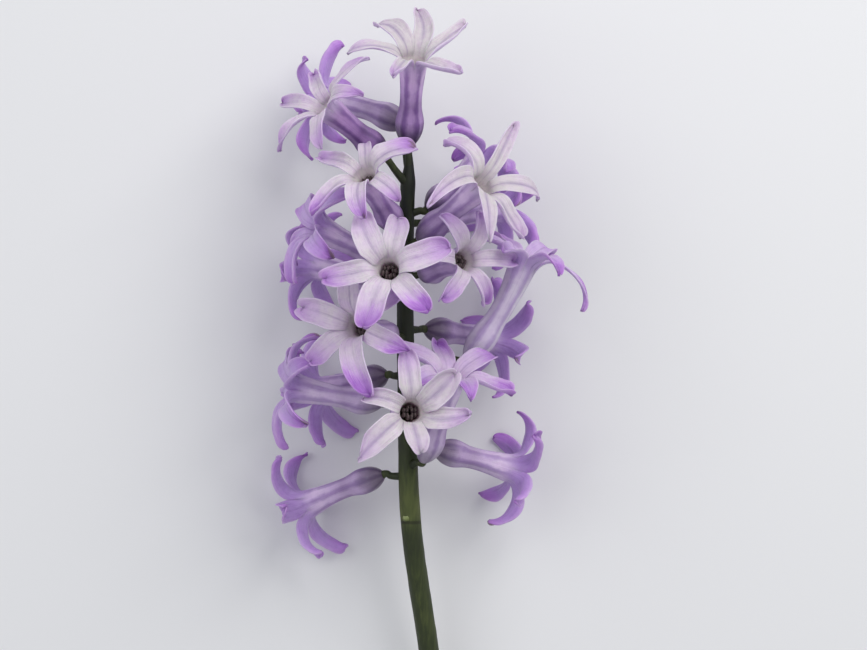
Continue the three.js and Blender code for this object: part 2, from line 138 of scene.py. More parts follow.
# %% Where the bells stand
BELL_VALUES = (
    "at", "side", "rise", "stalk", "turn", "lean", "tube", "roll", "open", "curl", "fade", "deep", "broad",
)
BELL_ROWS = [
    (-2, 60, 20, 6, 61, 62, 21, 36, 66, 120, 0.75, 0.35, 0.95),
    (-4, 200, 0, 5, 206, -24, 19, 20, 66, 175, 0.25, 0.5, 0.9),
    (3, -12, -5, 5, -20, -16, 18, 12, 72, 160, 0.15, 0.45, 0.9),
    (10.5, 98, 0, 5.5, 81, 6, 19, 32, 80, 126, 1.06, 0.3, 1.02),
    (13, 165, 5, 5, 171, 11, 18.5, 15, 72, 165, 0.35, 0.35, 0.85),
    (25, 6, 0, 13, 22, 67, 24, 30, 58, 130, 0.6, 0.0, 0.85),
    (20, 220, 0, 5, 212, -14, 16.5, 7, 70, 150, 0.2, 0.6, 0.9),
    (29, 119, 5, 4.5, 118, 8, 16, 38, 84, 126, 0.9, 0.4, 1.03),
    (31, -38, 0, 5, -36, -8, 18, 10, 72, 150, 0.15, 0.55, 0.85),
    (38, 97, 14, 6, 98, 14, 20, 12, 82, 124, 0.95, 0.4, 1.1),
    (42, 214, 5, 5, 216, 12, 18, 30, 66, 165, 0.2, 0.45, 0.85),
    (43, 46, 12, 4.5, 54, 10, 15, 0, 70, 165, 0.88, 0.5, 0.82),
    (47, 160, 8, 4, 158, 26, 16, 16, 70, 165, 0.4, 0.45, 0.9),
    (50, 52, 25, 5, 46, 30, 22, 0, 82, 128, 1.06, 0.6, 0.84),
    (56, -28, 5, 5, -42, 12, 19, 0, 68, 160, 0.15, 0.5, 0.85),
    (53, 115, 22, 4.5, 115, 36, 19, 28, 80, 126, 0.97, 0.8, 0.98),
    (69, 250, 68, 10.5, 204, 8, 20, 0, 64, 150, 0.1, 0.5, 0.95),
    (58, 4, 20, 4, -10, 46, 15, 0, 66, 160, 0.3, 0.6, 0.85),
    (65, 140, 42, 9, 144, 32, 18, -12, 78, 130, 0.9, 1.35, 0.8),
    (69, 90, 80, 5.2, 84, 53, 21, 2, 70, 118, 1.15, 1.0, 0.88),
]
BELLS = [dict(zip(BELL_VALUES, row)) for row in BELL_ROWS]
ORIGIN = np.array([3.61, -0.03, 0.0])
print("bells:", len(BELLS))

# %% [markdown]
# The stem follows a smooth curve through a few points, the same one as in the solids. It rises from the
# cut end on the table to the spike, which the lower bells hold up. A straight rod would be simpler, but
# a cut stem always bends a little.


# %% The line of the stem
STEM_AXIS = np.array([
    [12.4, -106, 2.4],
    [8.9, -80, 4.9],
    [3.8, -45, 10.8],
    [-0.3, -15, 16.6],
    [-1.2, 12, 21.0],
    [-1.6, 40, 24.2],
    [-1.2, 58, 25.6],
    [-0.6, 72, 27.0],
])
STEM_RADII = np.array([
    [-120, 2.7],
    [-60, 2.45],
    [-10, 2.45],
    [20, 2.15],
    [66, 1.72],
    [72, 0.75],
])
STEM_STEPS = 400


def curve_between(before, start, end, after, share):
    """A point between start and end on a centripetal Catmull-Rom curve."""
    gaps = [math.sqrt(np.linalg.norm(b - a)) for a, b in ((before, start), (start, end), (end, after))]
    leave = (start - before) / gaps[0] - (end - before) / (gaps[0] + gaps[1]) + (end - start) / gaps[1]
    arrive = (end - start) / gaps[1] - (after - start) / (gaps[1] + gaps[2]) + (after - end) / gaps[2]
    leave, arrive = leave * gaps[1], arrive * gaps[1]
    return (
        start
        + leave * share
        + (3 * (end - start) - 2 * leave - arrive) * share**2
        + (2 * (start - end) + leave + arrive) * share**3
    )


def curve_points(points, count):
    """Count + 1 points along the curve through points."""
    padded = np.vstack([2 * points[0] - points[1], points, 2 * points[-1] - points[-2]])
    found = []
    for place in np.linspace(0, len(points) - 1, count + 1):
        i = min(int(place), len(points) - 2)
        found.append(curve_between(*padded[i : i + 4], place - i))
    return np.array(found)


stem_line = curve_points(STEM_AXIS, STEM_STEPS)


def stem_at(y):
    """The point of the stem's axis at that place along it."""
    return np.array([np.interp(y, stem_line[:, 1], stem_line[:, k]) for k in range(3)])


def stem_radius(y):
    """The stem's radius there."""
    return float(np.interp(y, *STEM_RADII.T))


print("stem", round(float(np.linalg.norm(np.diff(stem_line, axis=0), axis=1).sum())), "mm long")

# %% [markdown]
# A bell leaves the stem in one direction and looks in another, so its tube is a gentle arc that starts a
# little in the stalk's direction. A straight tube would look pinned on. A frame of three directions is
# carried along the arc, so that rings can be drawn round it anywhere without a twist.


# %% The seat of one bell
STALK_PULL = 0.3


def heading(side, rise):
    """The direction round the stem by side, sloped towards the tip by rise, in degrees."""
    side, rise = math.radians(side), math.radians(rise)
    return np.array([math.cos(rise) * math.cos(side), math.sin(rise), math.cos(rise) * math.sin(side)])


def unit(vector):
    """The vector with length 1."""
    return vector / np.linalg.norm(vector)


def seat(bell):
    """Where a bell sits: its stalk's root and direction, its base, and the arc of its tube."""
    outward = heading(bell["side"], bell["rise"])
    root = stem_at(bell["at"])
    base = root + outward * (stem_radius(bell["at"]) + bell["stalk"])
    end = heading(bell["turn"], bell["lean"])
    start = unit((1 - STALK_PULL) * end + STALK_PULL * outward)
    bend = math.acos(min(1.0, float(start @ end)))
    hinge = Vector(unit(np.cross(start, end)))
    upright = Vector((0, 0, 1)).rotation_difference(Vector(start))
    first = [np.array(upright @ Vector(v)) for v in ((1, 0, 0), (0, 1, 0))]
    inward = np.cross(np.array(hinge), start)

    def frame_at(distance):
        turned = bend * distance / bell["tube"]
        reach = bell["tube"] / bend
        centre = base + start * math.sin(turned) * reach + inward * (1 - math.cos(turned)) * reach
        swing = Quaternion(hinge, turned)
        return centre, *[np.array(swing @ Vector(v)) for v in (start, *first)]

    return root, outward, base, start, frame_at


mouths = [seat(bell)[4](bell["tube"])[0] - ORIGIN for bell in BELLS]
print("highest mouth", round(max(m[2] for m in mouths)), "mm above the table")

# %% [markdown]
# A hyacinth's tube swells at its base, where the ovary sits, narrows to a waist and opens to the mouth.
# It has a low ridge under the middle of each lobe and a groove where two lobes meet. A turned profile
# alone would look like a vase, so the ridges are part of the shape.


# %% The form of the tube
TUBE_RADII = np.array([
    [-0.045, 0.75],
    [0, 1.5],
    [0.06, 2.2],
    [0.2, 2.88],
    [0.44, 2.2],
    [0.78, 2.4],
    [1, 3.0],
])
MOUTH_RADIUS = 3.0
LOBES = 6
TUBE_ROWS = 27
RIDGE = 0.05
RIDGE_RISES = 0.15
RIDGE_FADES = 0.2


def flowing(rows, x):
    """A smooth line through a table of places and values."""
    place, value = rows.T
    slope = np.gradient(value, place)
    i = np.clip(np.searchsorted(place, x) - 1, 0, len(place) - 2)
    gap = place[i + 1] - place[i]
    t = (x - place[i]) / gap
    return (
        (1 + 2 * t) * (1 - t) ** 2 * value[i]
        + t * (1 - t) ** 2 * gap * slope[i]
        + t**2 * (3 - 2 * t) * value[i + 1]
        + t**2 * (t - 1) * gap * slope[i + 1]
    )


tube_places = np.linspace(TUBE_RADII[0, 0], 1, TUBE_ROWS + 1)
tube_radii = flowing(TUBE_RADII, tube_places)
print("tube: bulb", round(2 * float(tube_radii.max()), 1), "mm across")

# %% [markdown]
# Lobes that are bent, short or folded have a habit of their own, the same one as in the solids. For each
# bell and lobe the table holds: times the length, more spread and more curl in degrees, a sideways sweep
# in millimetres, and times the breadth. All other lobes are plain.
# TIP_TINTS says how violet the tip of each lobe still is, for the bells that face up. On the others it
# follows from a chance value of the lobe.

# %% Lobes with a habit of their own
HABITS = {
    (4, 0): (0.85, -30, -20, 3, 1.05),
    (4, 1): (0.92, 0, 0, 0, 1),
    (4, 2): (0.66, 0, 45, 2, 0.72),
    (4, 3): (1.12, 0, -20, 3.5, 1.1),
    (4, 4): (0.6, -35, 0, 2, 0.9),
    (4, 5): (0.82, -25, -40, 4, 1.1),
    (6, 2): (0.85, 0, 20, 0, 1),
    (6, 5): (1.5, 22, 60, -1, 0.75),
    (8, 0): (0.95, 0, 0, -2.5, 1),
    (8, 2): (1, 0, 0, 2, 1),
    (8, 3): (0.95, 0, 0, -2, 1),
    (8, 4): (1.1, 0, 0, 3, 1),
    (10, 1): (0.82, 0, 45, 2, 1),
    (10, 2): (0.95, 0, 0, -4, 1.05),
    (10, 4): (1, 0, 0, -1.5, 1),
    (10, 5): (0.88, 0, 0, 0, 1),
    (12, 0): (1, 0, 0, 2, 0.85),
    (12, 1): (0.9, 0, 0, 0, 0.9),
    (12, 2): (0.72, 0, 0, 0, 0.85),
    (12, 3): (0.8, 0, 0, 0, 0.85),
    (12, 4): (0.7, 0, 0, 0, 0.85),
    (12, 5): (0.8, 0, 20, 0, 0.85),
    (14, 0): (1.15, -8, 10, 0, 0.9),
    (14, 1): (1.36, -24, -30, 1, 0.8),
    (14, 2): (0.9, -20, 60, 0, 0.9),
    (14, 3): (1.3, 0, 0, 11, 1.05),
    (14, 4): (1, 0, 0, 7, 0.9),
    (14, 5): (1, 0, 0, 3.5, 1),
    (16, 0): (0.86, 0, 0, 0, 1.12),
    (16, 1): (0.66, 0, 20, 3, 0.62),
    (16, 2): (0.85, 0, 10, 2, 0.7),
    (16, 3): (1, 0, 0, 3, 0.66),
    (16, 4): (0.78, 0, 0, 2, 0.85),
    (16, 5): (0.75, 20, 60, 0, 0.8),
    (19, 0): (0.9, 0, 0, 1, 0.85),
    (19, 1): (1, 0, 0, -2, 0.7),
    (19, 2): (0.85, 0, 0, 2, 0.8),
    (19, 3): (1.15, 0, 0, -4, 0.9),
    (19, 4): (1, 0, 0, -4, 0.8),
    (19, 5): (1, 0, 0, 0, 1.15),
    (20, 0): (0.82, -10, -10, 11, 0.95),
    (20, 1): (1.1, 0, 0, 6.5, 1.1),
    (20, 2): (0.95, 0, 0, 1, 1),
    (20, 3): (1.05, 0, 0, 1.5, 0.95),
    (20, 4): (0.75, 0, 0, 2, 0.6),
    (20, 5): (0.8, 0, 0, 4, 1),
}
PLAIN_HABIT = (1, 0, 0, 0, 1)
TIP_TINTS = {
    4: (0.1, 0.4, 0.2, 0.25, 0.1, 0.3),
    8: (0.4, 0.2, 0.25, 0.55, 1.0, 1.0),
    10: (0.45, 0.15, 0.3, 0.6, 0.75, 1.2),
    12: (0.5, 0.5, 0.45, 0.5, 0.6, 0.6),
    14: (0.15, 0.1, 0.3, 0.25, 0.15, 0.2),
    16: (0.7, 0.15, 0.35, 0.8, 0.8, 0.7),
    19: (0.6, 0.3, 0.45, 0.4, 0.5, 0.4),
    20: (0.1, 0.1, 0.1, 0.25, 0.4, 0.2),
}
print("lobes with a habit of their own:", len(HABITS), "of", LOBES * len(BELLS))

# %% [markdown]
# No two lobes are alike. A random generator would do, but then the solids and this skin would draw
# different numbers. So each small variation comes from one fixed rule: steps of a fraction that never
# repeats, one for the bell, one for the lobe and one for the trait.

# %% Small variations
TRAITS = (
    "lopsided", "length", "spread", "curl", "sweep", "twist", "channel", "bluntness", "left ripple",
    "right ripple", "chance", "ragged", "finely ragged", "edge", "edge place", "crease", "hood", "ripple",
    "wave", "pinch",
)
BELL_STEP = 0.6180339
LOBE_STEP = 0.7548777
TRAIT_STEP = 0.5698403


def vary(bell, lobe, trait):
    """A small even variation from -1 to 1, the same each time for one bell, lobe and trait."""
    x = bell * BELL_STEP + lobe * LOBE_STEP + TRAITS.index(trait) * TRAIT_STEP
    return 2 * (x - math.floor(x)) - 1


def habit(number, lobe):
    """The habit of that lobe, where number counts the bells from 0."""
    return HABITS.get((number + 1, lobe), PLAIN_HABIT)


def smooth(x):
    """Eases from 0 to 1."""
    x = np.clip(x, 0, 1)
    return x * x * (3 - 2 * x)


def mix(a, b, share):
    """A value between a and b."""
    return a + (b - a) * share


print("first lobe's curl varies by", round(vary(0, 0, "curl"), 2), "of its range")

# %% [markdown]
# Each lobe leaves the mouth almost straight, bends outwards and curls back at its tip. An arc bends the
# same all along, and a curve drawn by hand fits only one opening. So the centre line is made by adding
# up many short steps whose angle follows one rule, which gives a smooth curl for any opening. A lobe is
# narrow at the mouth and widest near its middle, and every other one is broader and lies on top of its
# neighbours.

# %% The line and the width of a lobe
MOUTH_SLOPE = 14
LOBE_LENGTH = 14
LOBE_HALF_WIDTH = 3.0
LOBE_BROAD = 0.32
LOBE_NARROWS = 0.52
INNER_LOBE = 1.06
OUTER_LOBE = 0.94
OUTER_GAP = 0.1
INNER_GAP = -0.35
GAP_OPENS = 0.13
LINE_STEPS = 40
OPEN_FROM = 0.36
CURL_POWER = 1.8
OUTER_SPREAD = 4
TIP_POWER = 2.8
TIP_NARROWS = 0.995
PINCH_FROM = 0.35
VARIES = {
    "length": 0.06, "spread": 7, "curl": 16, "sweep": 1.3, "twist": 12, "bluntness": 0.6, "pinch": 0.5,
}


def lobe_line(bell, number, lobe, u):
    """How far out, how far up and at what angle a lobe is at each place u along it."""
    longer, wider, curlier, _, _ = habit(number, lobe)
    length = LOBE_LENGTH * longer * (1 + VARIES["length"] * vary(number, lobe, "length"))
    outer = OUTER_SPREAD if lobe % 2 else -OUTER_SPREAD
    opening = bell["open"] + wider + VARIES["spread"] * vary(number, lobe, "spread") + outer
    tip = bell["curl"] + curlier + VARIES["curl"] * vary(number, lobe, "curl")
    steps = np.linspace(0, 1, LINE_STEPS + 1)
    opened = MOUTH_SLOPE + (opening - MOUTH_SLOPE) * smooth(steps / OPEN_FROM)
    angle = np.radians(opened + (tip - opening) * steps**CURL_POWER)
    out, up = (
        np.concatenate([[0], np.cumsum(part)]) * length / LINE_STEPS
        for part in (np.sin(angle[:-1]), np.cos(angle[:-1]))
    )
    return [np.interp(u, steps, line) for line in (MOUTH_RADIUS + out, up, angle)]


def lobe_half_width(u, bell, number, lobe):
    """Half the width of a lobe at u: narrow at the mouth, widest near the middle, round at the tip."""
    breadth = bell["broad"] * habit(number, lobe)[4]
    full = LOBE_HALF_WIDTH * breadth * (OUTER_LOBE if lobe % 2 else INNER_LOBE)
    wide = mix(MOUTH_RADIUS / 2, full, smooth(u / LOBE_BROAD))
    past = np.clip((u - LOBE_NARROWS) / (1 - LOBE_NARROWS), 0, 1)
    fullness = (TIP_POWER + VARIES["bluntness"] * vary(number, lobe, "bluntness")) * bell["broad"]
    pinched = VARIES["pinch"] * max(0.0, vary(number, lobe, "pinch"))
    pinch = pinched * smooth((past - PINCH_FROM) / (1 - PINCH_FROM))
    return wide * np.sqrt(1 - TIP_NARROWS * past**fullness) * (1 - pinch)


def room_at(out, bent, share, u, lobe):
    """The half width that keeps a lobe clear of its neighbours near the mouth, or lays it on them."""
    spread = math.tan(math.pi / LOBES)
    gap = (OUTER_GAP if lobe % 2 else INNER_GAP) * smooth(u / GAP_OPENS)
    return (spread * out - gap) / (1 + spread * share * np.maximum(0, np.cos(bent)))


print("lobes", LOBE_LENGTH, "mm long and", 2 * LOBE_HALF_WIDTH, "mm wide")

# %% [markdown]
# Where a lobe meets the table it lies along it. Cut off at the table it would show a flat face, so the
# points that come near the table are eased up onto it instead, all the more the lower they are.

# %% Press a surface onto the table
FLOOR_LIFT = 0.28
FLOOR_SOFTNESS = 0.9
WELL_CLEAR = 20


def pressed(points):
    """The points, with those that would reach into the table eased up onto it."""
    above = np.clip((points[..., 2] - FLOOR_LIFT) / FLOOR_SOFTNESS, -2 * WELL_CLEAR, 2 * WELL_CLEAR)
    eased = FLOOR_LIFT + FLOOR_SOFTNESS * np.log1p(np.exp(above))
    points[..., 2] = np.where(above < WELL_CLEAR, eased, points[..., 2])
    return points


print("petals on the table keep their middle", FLOOR_LIFT, "mm above it")

# %% [markdown]
# The middle surface of a bell is one grid: rings for the tube, then six strips that part from its last
# ring. Separate petals stuck on a tube would show a seam at the mouth. The real bell is one piece too.

# %% The rings of the tube
ACROSS = 12
COLUMNS = LOBES * ACROSS


def tube_rings(bell, frame_at):
    """The points of the tube, ring by ring, and how far from a midrib each column is."""
    step = np.arange(COLUMNS)
    angle = np.radians(bell["roll"] + 360 * step / COLUMNS)
    offset = (step + ACROSS // 2) % ACROSS - ACROSS // 2
    across = np.abs(offset) / (ACROSS / 2)
    rings = []
    for place, radius in zip(tube_places, tube_radii):
        centre, _, x, y = frame_at(place * bell["tube"])
        ridge = RIDGE * np.cos(np.pi * across) * smooth(place / RIDGE_RISES)
        ridged = radius * (1 + ridge * smooth((1 - place) / RIDGE_FADES))
        rings.append(centre + np.outer(ridged * np.cos(angle), x) + np.outer(ridged * np.sin(angle), y))
    return pressed(np.array(rings)), across


print("grid of one tube:", TUBE_ROWS, "x", COLUMNS)

# %% [markdown]
# Each lobe starts with the roundness of the tube and becomes a shallow channel. Its tip is drawn up into
# a small hood and slightly ragged, its margins lift, ripple and waver, and the whole blade waves a
# little. Every one of these is a height in millimetres or a share, with the place u along the lobe where
# it begins and the stretch over which it grows. A brush in sculpt mode could do it for one lobe, but
# here a hundred and twenty differ by the same rule.

# %% The form of a lobe
LOBE_ROWS = 30
ROW_CROWDING = 1.25
MOUTH_ARC = math.radians(30)
INNER_LIFT = {"from": 0, "over": 0.12, "rises": 0.45}
FREE = {"from": 0, "over": 0.3}
CHANNEL = {"mouth": 0.268, "lobe": 0.24, "varies": 0.14}
FLAT_CREASE = 2
SHARP_CREASE = 1.3
HOOD = {"from": 0.76, "over": 0.24, "rises": 0.4, "varies": 0.45}
RAGGED_TIP = {"from": 0.5, "over": 0.5, "short": 0.02}
RAGGED_WAVES = [("ragged", 0.024, 4), ("finely ragged", 0.018, 9)]
EDGE_WAVER = {"varies": 0.08, "along": 7, "across": 2}
LOPSIDED = {"from": 0.2, "over": 0.5, "varies": 0.1}
MARGIN = {"from": 0.15, "over": 0.3, "rises": 0.5, "varies": 0.45, "power": 6}
RIPPLES = [("left ripple", 9), ("right ripple", 11)]
RIPPLE = {"rises": 0.24, "varies": 0.14}
WAVE = {"from": 0.2, "over": 0.4, "rises": 0.45, "turns": 5}
SHIFT = {"edges": 3, "ripples": 6, "wave": 4}


def begun(u, form):
    """Eases from 0 to 1 over the stretch of the lobe where that part of its form begins."""
    return smooth((u - form["from"]) / form["over"])


def lobe_places(trait, v):
    """How far along the lobe each row is, and each point, as the tip is slightly ragged."""
    rows = 1 - (1 - np.arange(1, LOBE_ROWS + 1) / LOBE_ROWS) ** ROW_CROWDING
    ragged = sum(
        height * np.sin(turns * v + SHIFT["edges"] * trait[name]) for name, height, turns in RAGGED_WAVES
    )
    shorter = (RAGGED_TIP["short"] + ragged) * begun(rows[:, None], RAGGED_TIP)
    return rows, rows[:, None] * (1 - shorter)


def lobe_edges(half, trait, u, v, free):
    """The half width with wavering edges and one side broader than the other."""
    turned = EDGE_WAVER["along"] * u + EDGE_WAVER["across"] * v + SHIFT["edges"] * trait["edge place"]
    half = half * (1 + EDGE_WAVER["varies"] * trait["edge"] * np.sin(turned) * free)
    return half * (1 + LOPSIDED["varies"] * trait["lopsided"] * np.sign(v) * begun(u, LOPSIDED))


def lobe_lift(half, trait, u, v, free, lobe):
    """How far the surface lifts off the lobe's line, towards the face that shows inside the bell."""
    round_start = (1 - np.cos(MOUTH_ARC * v)) / (1 - np.cos(MOUTH_ARC))
    crease = 0.5 + 0.5 * trait["crease"]
    hollow = mix(round_start, mix(np.abs(v) ** FLAT_CREASE, np.abs(v) ** SHARP_CREASE, crease), free)
    channel = CHANNEL["lobe"] + CHANNEL["varies"] * trait["channel"]
    hood = HOOD["rises"] + HOOD["varies"] * trait["hood"]
    depth = half * mix(CHANNEL["mouth"], channel + hood * begun(u, HOOD), free)
    margin = (MARGIN["rises"] + MARGIN["varies"] * trait["spread"]) * v ** MARGIN["power"] * begun(u, MARGIN)
    left, right = (np.sin(turns * u + SHIFT["ripples"] * trait[name]) for name, turns in RIPPLES)
    ripple = np.where(v > 0, right, left) * (RIPPLE["rises"] + RIPPLE["varies"] * trait["ripple"])
    wave = WAVE["rises"] * np.sin(WAVE["turns"] * u + SHIFT["wave"] * trait["wave"]) * u * begun(u, WAVE)
    lift = depth * hollow + (ripple * v**2 + wave + margin) * free
    return lift + (0 if lobe % 2 else INNER_LIFT["rises"]) * begun(u, INNER_LIFT)


print("grid of one lobe:", LOBE_ROWS, "x", ACROSS)

# %% [markdown]
# The strip of a lobe is laid out in its own directions: radial away from the bell's line, along it, and
# sideways. facing is where the inner face looks, and it turns with the curl. reach is how far aside a
# point lies, as a share of the half width.

# %% The strip of a lobe
SQUEEZED_EDGE = 0.1


def lobe_strip(bell, number, lobe, frame_at):
    """The points of one lobe, row by row from the mouth to its tip."""
    centre, along, x, y = frame_at(bell["tube"])
    angle = math.radians(bell["roll"] + 360 * lobe / LOBES)
    radial = x * math.cos(angle) + y * math.sin(angle)
    sideways = np.cross(along, radial)
    trait = {name: vary(number, lobe, name) for name in TRAITS}
    v = np.linspace(-1, 1, ACROSS + 1)[None, :]
    rows, u = lobe_places(trait, v)
    out, up, bent = lobe_line(bell, number, lobe, u)
    free = begun(u, FREE)
    facing = radial * -np.cos(bent)[..., None] + along * np.sin(bent)[..., None]
    facing = mix(facing, -radial, 1 - free[..., None])
    facing /= np.linalg.norm(facing, axis=2, keepdims=True)
    twist = (np.radians(VARIES["twist"] * trait["twist"]) * u)[..., None]
    side = sideways * np.cos(twist) + facing * np.sin(twist)
    half = lobe_half_width(rows, bell, number, lobe)[:, None]
    half = lobe_edges(half, trait, u, v, free)
    channel = CHANNEL["lobe"] + CHANNEL["varies"] * trait["channel"]
    half = np.minimum(half, room_at(out, bent, mix(CHANNEL["mouth"], channel, free), u, lobe))
    reach = mix(np.sin(MOUTH_ARC * v) / np.sin(MOUTH_ARC), v * (1 - SQUEEZED_EDGE * v**6), free)
    lift = lobe_lift(half, trait, u, v, free, lobe)
    sweep = habit(number, lobe)[3] + VARIES["sweep"] * trait["sweep"]
    points = centre + out[..., None] * radial + up[..., None] * along + (sweep * u**2)[..., None] * sideways
    points = points + side * (half * reach)[..., None] + facing * lift[..., None]
    return pressed(points), rows, v[0]


midrib = lobe_strip(BELLS[0], 0, 0, seat(BELLS[0])[4])[0][:, ACROSS // 2]
print("one lobe reaches", round(float(np.linalg.norm(midrib[-1] - midrib[0])), 1), "mm from mouth to tip")

# %% [markdown]
# One array holds all points of a bell, and beside each point go the values that its colour needs later:
# how far along the bell it is (0 base, 1 mouth, 2 tip), how far from the midrib and to which side of it,
# a chance value of its lobe, and how violet that lobe's tip still is. A painted image could hold the
# colours instead, but values on the points follow every curl without a seam.


# %% Join the tube and the lobes
def grid_faces(rows):
    """The quads between neighbours in a grid of point numbers."""
    return np.stack([rows[:-1, :-1], rows[:-1, 1:], rows[1:, 1:], rows[1:, :-1]], -1).reshape(-1, 4)


def bell_grid(bell, number):
    """The points and quads of one bell's middle surface, with the values beside its points."""
    frame_at = seat(bell)[4]
    rings, ring_across = tube_rings(bell, frame_at)
    ring_numbers = np.arange((TUBE_ROWS + 1) * COLUMNS).reshape(-1, COLUMNS)
    lobe_of_column = (np.arange(COLUMNS) + ACROSS // 2) // ACROSS % LOBES
    points = [rings.reshape(-1, 3)]
    quads = [grid_faces(np.hstack([ring_numbers, ring_numbers[:, :1]]))]
    along = [np.repeat(tube_places, COLUMNS)]
    side = [np.tile(ring_across, TUBE_ROWS + 1)]
    lobes = [np.tile(lobe_of_column, TUBE_ROWS + 1)]
    count = ring_numbers.size
    for lobe in range(LOBES):
        strip, u, v = lobe_strip(bell, number, lobe, frame_at)
        root = ring_numbers[-1, (lobe * ACROSS + np.arange(ACROSS + 1) - ACROSS // 2) % COLUMNS]
        numbers = count + np.arange(len(u) * len(v)).reshape(-1, len(v))
        points.append(strip.reshape(-1, 3))
        quads.append(grid_faces(np.vstack([root, numbers])))
        along.append(np.repeat(1 + u, len(v)))
        side.append(np.tile(v, len(u)))
        lobes.append(np.full(numbers.size, lobe))
        count += numbers.size
    side, lobes = np.concatenate(side), np.concatenate(lobes)
    chance = np.array([vary(number, lobe, "chance") for lobe in range(LOBES)])
    tint = np.asarray(TIP_TINTS.get(number + 1, 0.5 + 0.5 * smooth((chance + 1) / 1.5)))
    return np.concatenate(points), np.concatenate(quads), {
        "along": np.concatenate(along),
        "across": np.abs(side),
        "side": side,
        "chance": chance[lobes],
        "tint": tint[lobes],
    }


grid_points, grid_quads, grid_values = bell_grid(BELLS[9], 9)
print("one bell's middle surface:", len(grid_points), "points,", len(grid_quads), "faces")

# %% [markdown]
# A petal is fleshy along its midrib and thin at its edge. Blender's Solidify could thicken the surface,
# but evenly and with square edges. So it is doubled here: one copy moves out along its normals and one
# moves in, by half the thickness there. A third line of points, a little further out, joins the two
# copies at every open edge, so the edge is round and the skin is closed. A fine groove follows the
# midrib on the inner face, with a low keel behind it.

# %% Give the surface its thickness
THICK = {"tube": 0.7, "midrib": 0.8, "edge": 0.3, "tip": 0.75}
THINNING = {"from": 0.95, "over": 0.2}
GROOVE = {"from": 1.05, "over": 0.3, "width": 0.14, "depth": 0.13}
KEEL = 0.5
EDGE_ROUND = 0.8
TINY = 1e-12


def corner_normals(points, quads):
    """The surface's direction at each point, from the faces that meet there."""
    a, b, c, d = (points[quads[:, k]] for k in range(4))
    faces = np.cross(c - a, d - b)
    normals = np.zeros_like(points)
    for k in range(4):
        np.add.at(normals, quads[:, k], faces)
    return normals / np.maximum(np.linalg.norm(normals, axis=1), TINY)[:, None]


def open_edges(quads):
    """The edges with a face on one side only, in the direction of that face."""
    edges = np.concatenate([quads[:, [k, (k + 1) % 4]] for k in range(4)])
    known = {(int(a), int(b)) for a, b in edges}
    return np.array([(a, b) for a, b in sorted(known) if (b, a) not in known])


def thickness(along, across):
    """Petal thickness in millimetres."""
    lobe = mix(THICK["midrib"], THICK["edge"], across**2) * mix(1, THICK["tip"], smooth(along - 1))
    return mix(THICK["tube"], lobe, begun(along, THINNING))


def skin(points, quads, values):
    """A closed skin round the middle surface, with an inside value of 1 on the inner face."""
    count = len(points)
    normals = corner_normals(points, quads)
    half = thickness(values["along"], values["across"])[:, None] / 2
    midrib = np.exp(-((values["across"] / GROOVE["width"]) ** 2)) * begun(values["along"], GROOVE)
    groove = (GROOVE["depth"] * midrib)[:, None]
    edges = open_edges(quads)
    beyond = np.zeros_like(points)
    for a, b in (edges.T, edges.T[::-1]):
        np.add.at(beyond, a, np.cross(points[edges[:, 1]] - points[edges[:, 0]], normals[a]))
    rim = np.unique(edges)
    beyond = beyond[rim] / np.maximum(np.linalg.norm(beyond[rim], axis=1), TINY)[:, None]
    place = np.full(count, -1)
    place[rim] = np.arange(len(rim)) + 2 * count
    outer = points + normals * (half + KEEL * groove)
    inner = points - normals * (half - groove)
    edge = points[rim] + beyond * half[rim] * EDGE_ROUND
    a, b = edges.T
    walls = [np.stack([b, a, place[a], place[b]], -1)]
    walls.append(np.stack([place[b], place[a], a + count, b + count], -1))
    shell = np.concatenate([outer, inner, edge])
    faces = np.concatenate([quads, quads[:, ::-1] + count, *walls])
    kept = {name: np.concatenate([value, value, value[rim]]) for name, value in values.items()}
    kept["inside"] = np.concatenate([np.zeros(count), np.ones(count), np.full(len(rim), 0.5)])
    return shell, faces, kept


shell_points, shell_faces, _ = skin(grid_points, grid_quads, grid_values)
print("one bell's skin:", len(shell_points), "points,", 2 * len(shell_faces), "triangles")

# %% [markdown]
# Materials are built from small nodes. They could be joined by hand in the node editor, but in a script
# every number can be read again. These helpers keep it short: one adds a node and sets its inputs, and
# the others add a sum, a noise, a colour ramp, a blend or a bump.


# %% Helpers for node trees
def add_node(tree, kind, inputs=None, **settings):
    """A node with its settings, and with its inputs set to values or joined to other sockets."""
    node = tree.nodes.new(kind)
    for name, value in settings.items():
        setattr(node, name, value)
    for name, value in (inputs or {}).items():
        if isinstance(value, bpy.types.NodeSocket):
            tree.links.new(value, node.inputs[name])
        else:
            node.inputs[name].default_value = value
    return node


def work_out(tree, operation, a, b=0.0, clamp=False):
    """The result of a sum on two values or sockets."""
    return add_node(tree, "ShaderNodeMath", {0: a, 1: b}, operation=operation, use_clamp=clamp).outputs[0]


def times(tree, a, b, clamp=False):
    """Value a times b."""
    return work_out(tree, "MULTIPLY", a, b, clamp)


def minus(tree, a, b):
    """Value a less b."""
    return work_out(tree, "SUBTRACT", a, b)


def weighted(tree, start, *terms):
    """Start, with each further value added to it by its weight."""
    for value, weight in terms:
        start = work_out(tree, "ADD", start, times(tree, value, weight))
    return start


def noise(tree, place, scale, detail):
    """Cloudy noise from 0 to 1, finer with a larger scale."""
    inputs = {"Vector": place, "Scale": scale, "Detail": detail}
    return add_node(tree, "ShaderNodeTexNoise", inputs).outputs["Fac"]


def span(tree, value, low, high, start=0.0, end=1.0):
    """A value taken from the span low to high onto the span start to end, eased."""
    inputs = {"Value": value, "From Min": low, "From Max": high, "To Min": start, "To Max": end}
    return add_node(tree, "ShaderNodeMapRange", inputs, interpolation_type="SMOOTHSTEP").outputs["Result"]


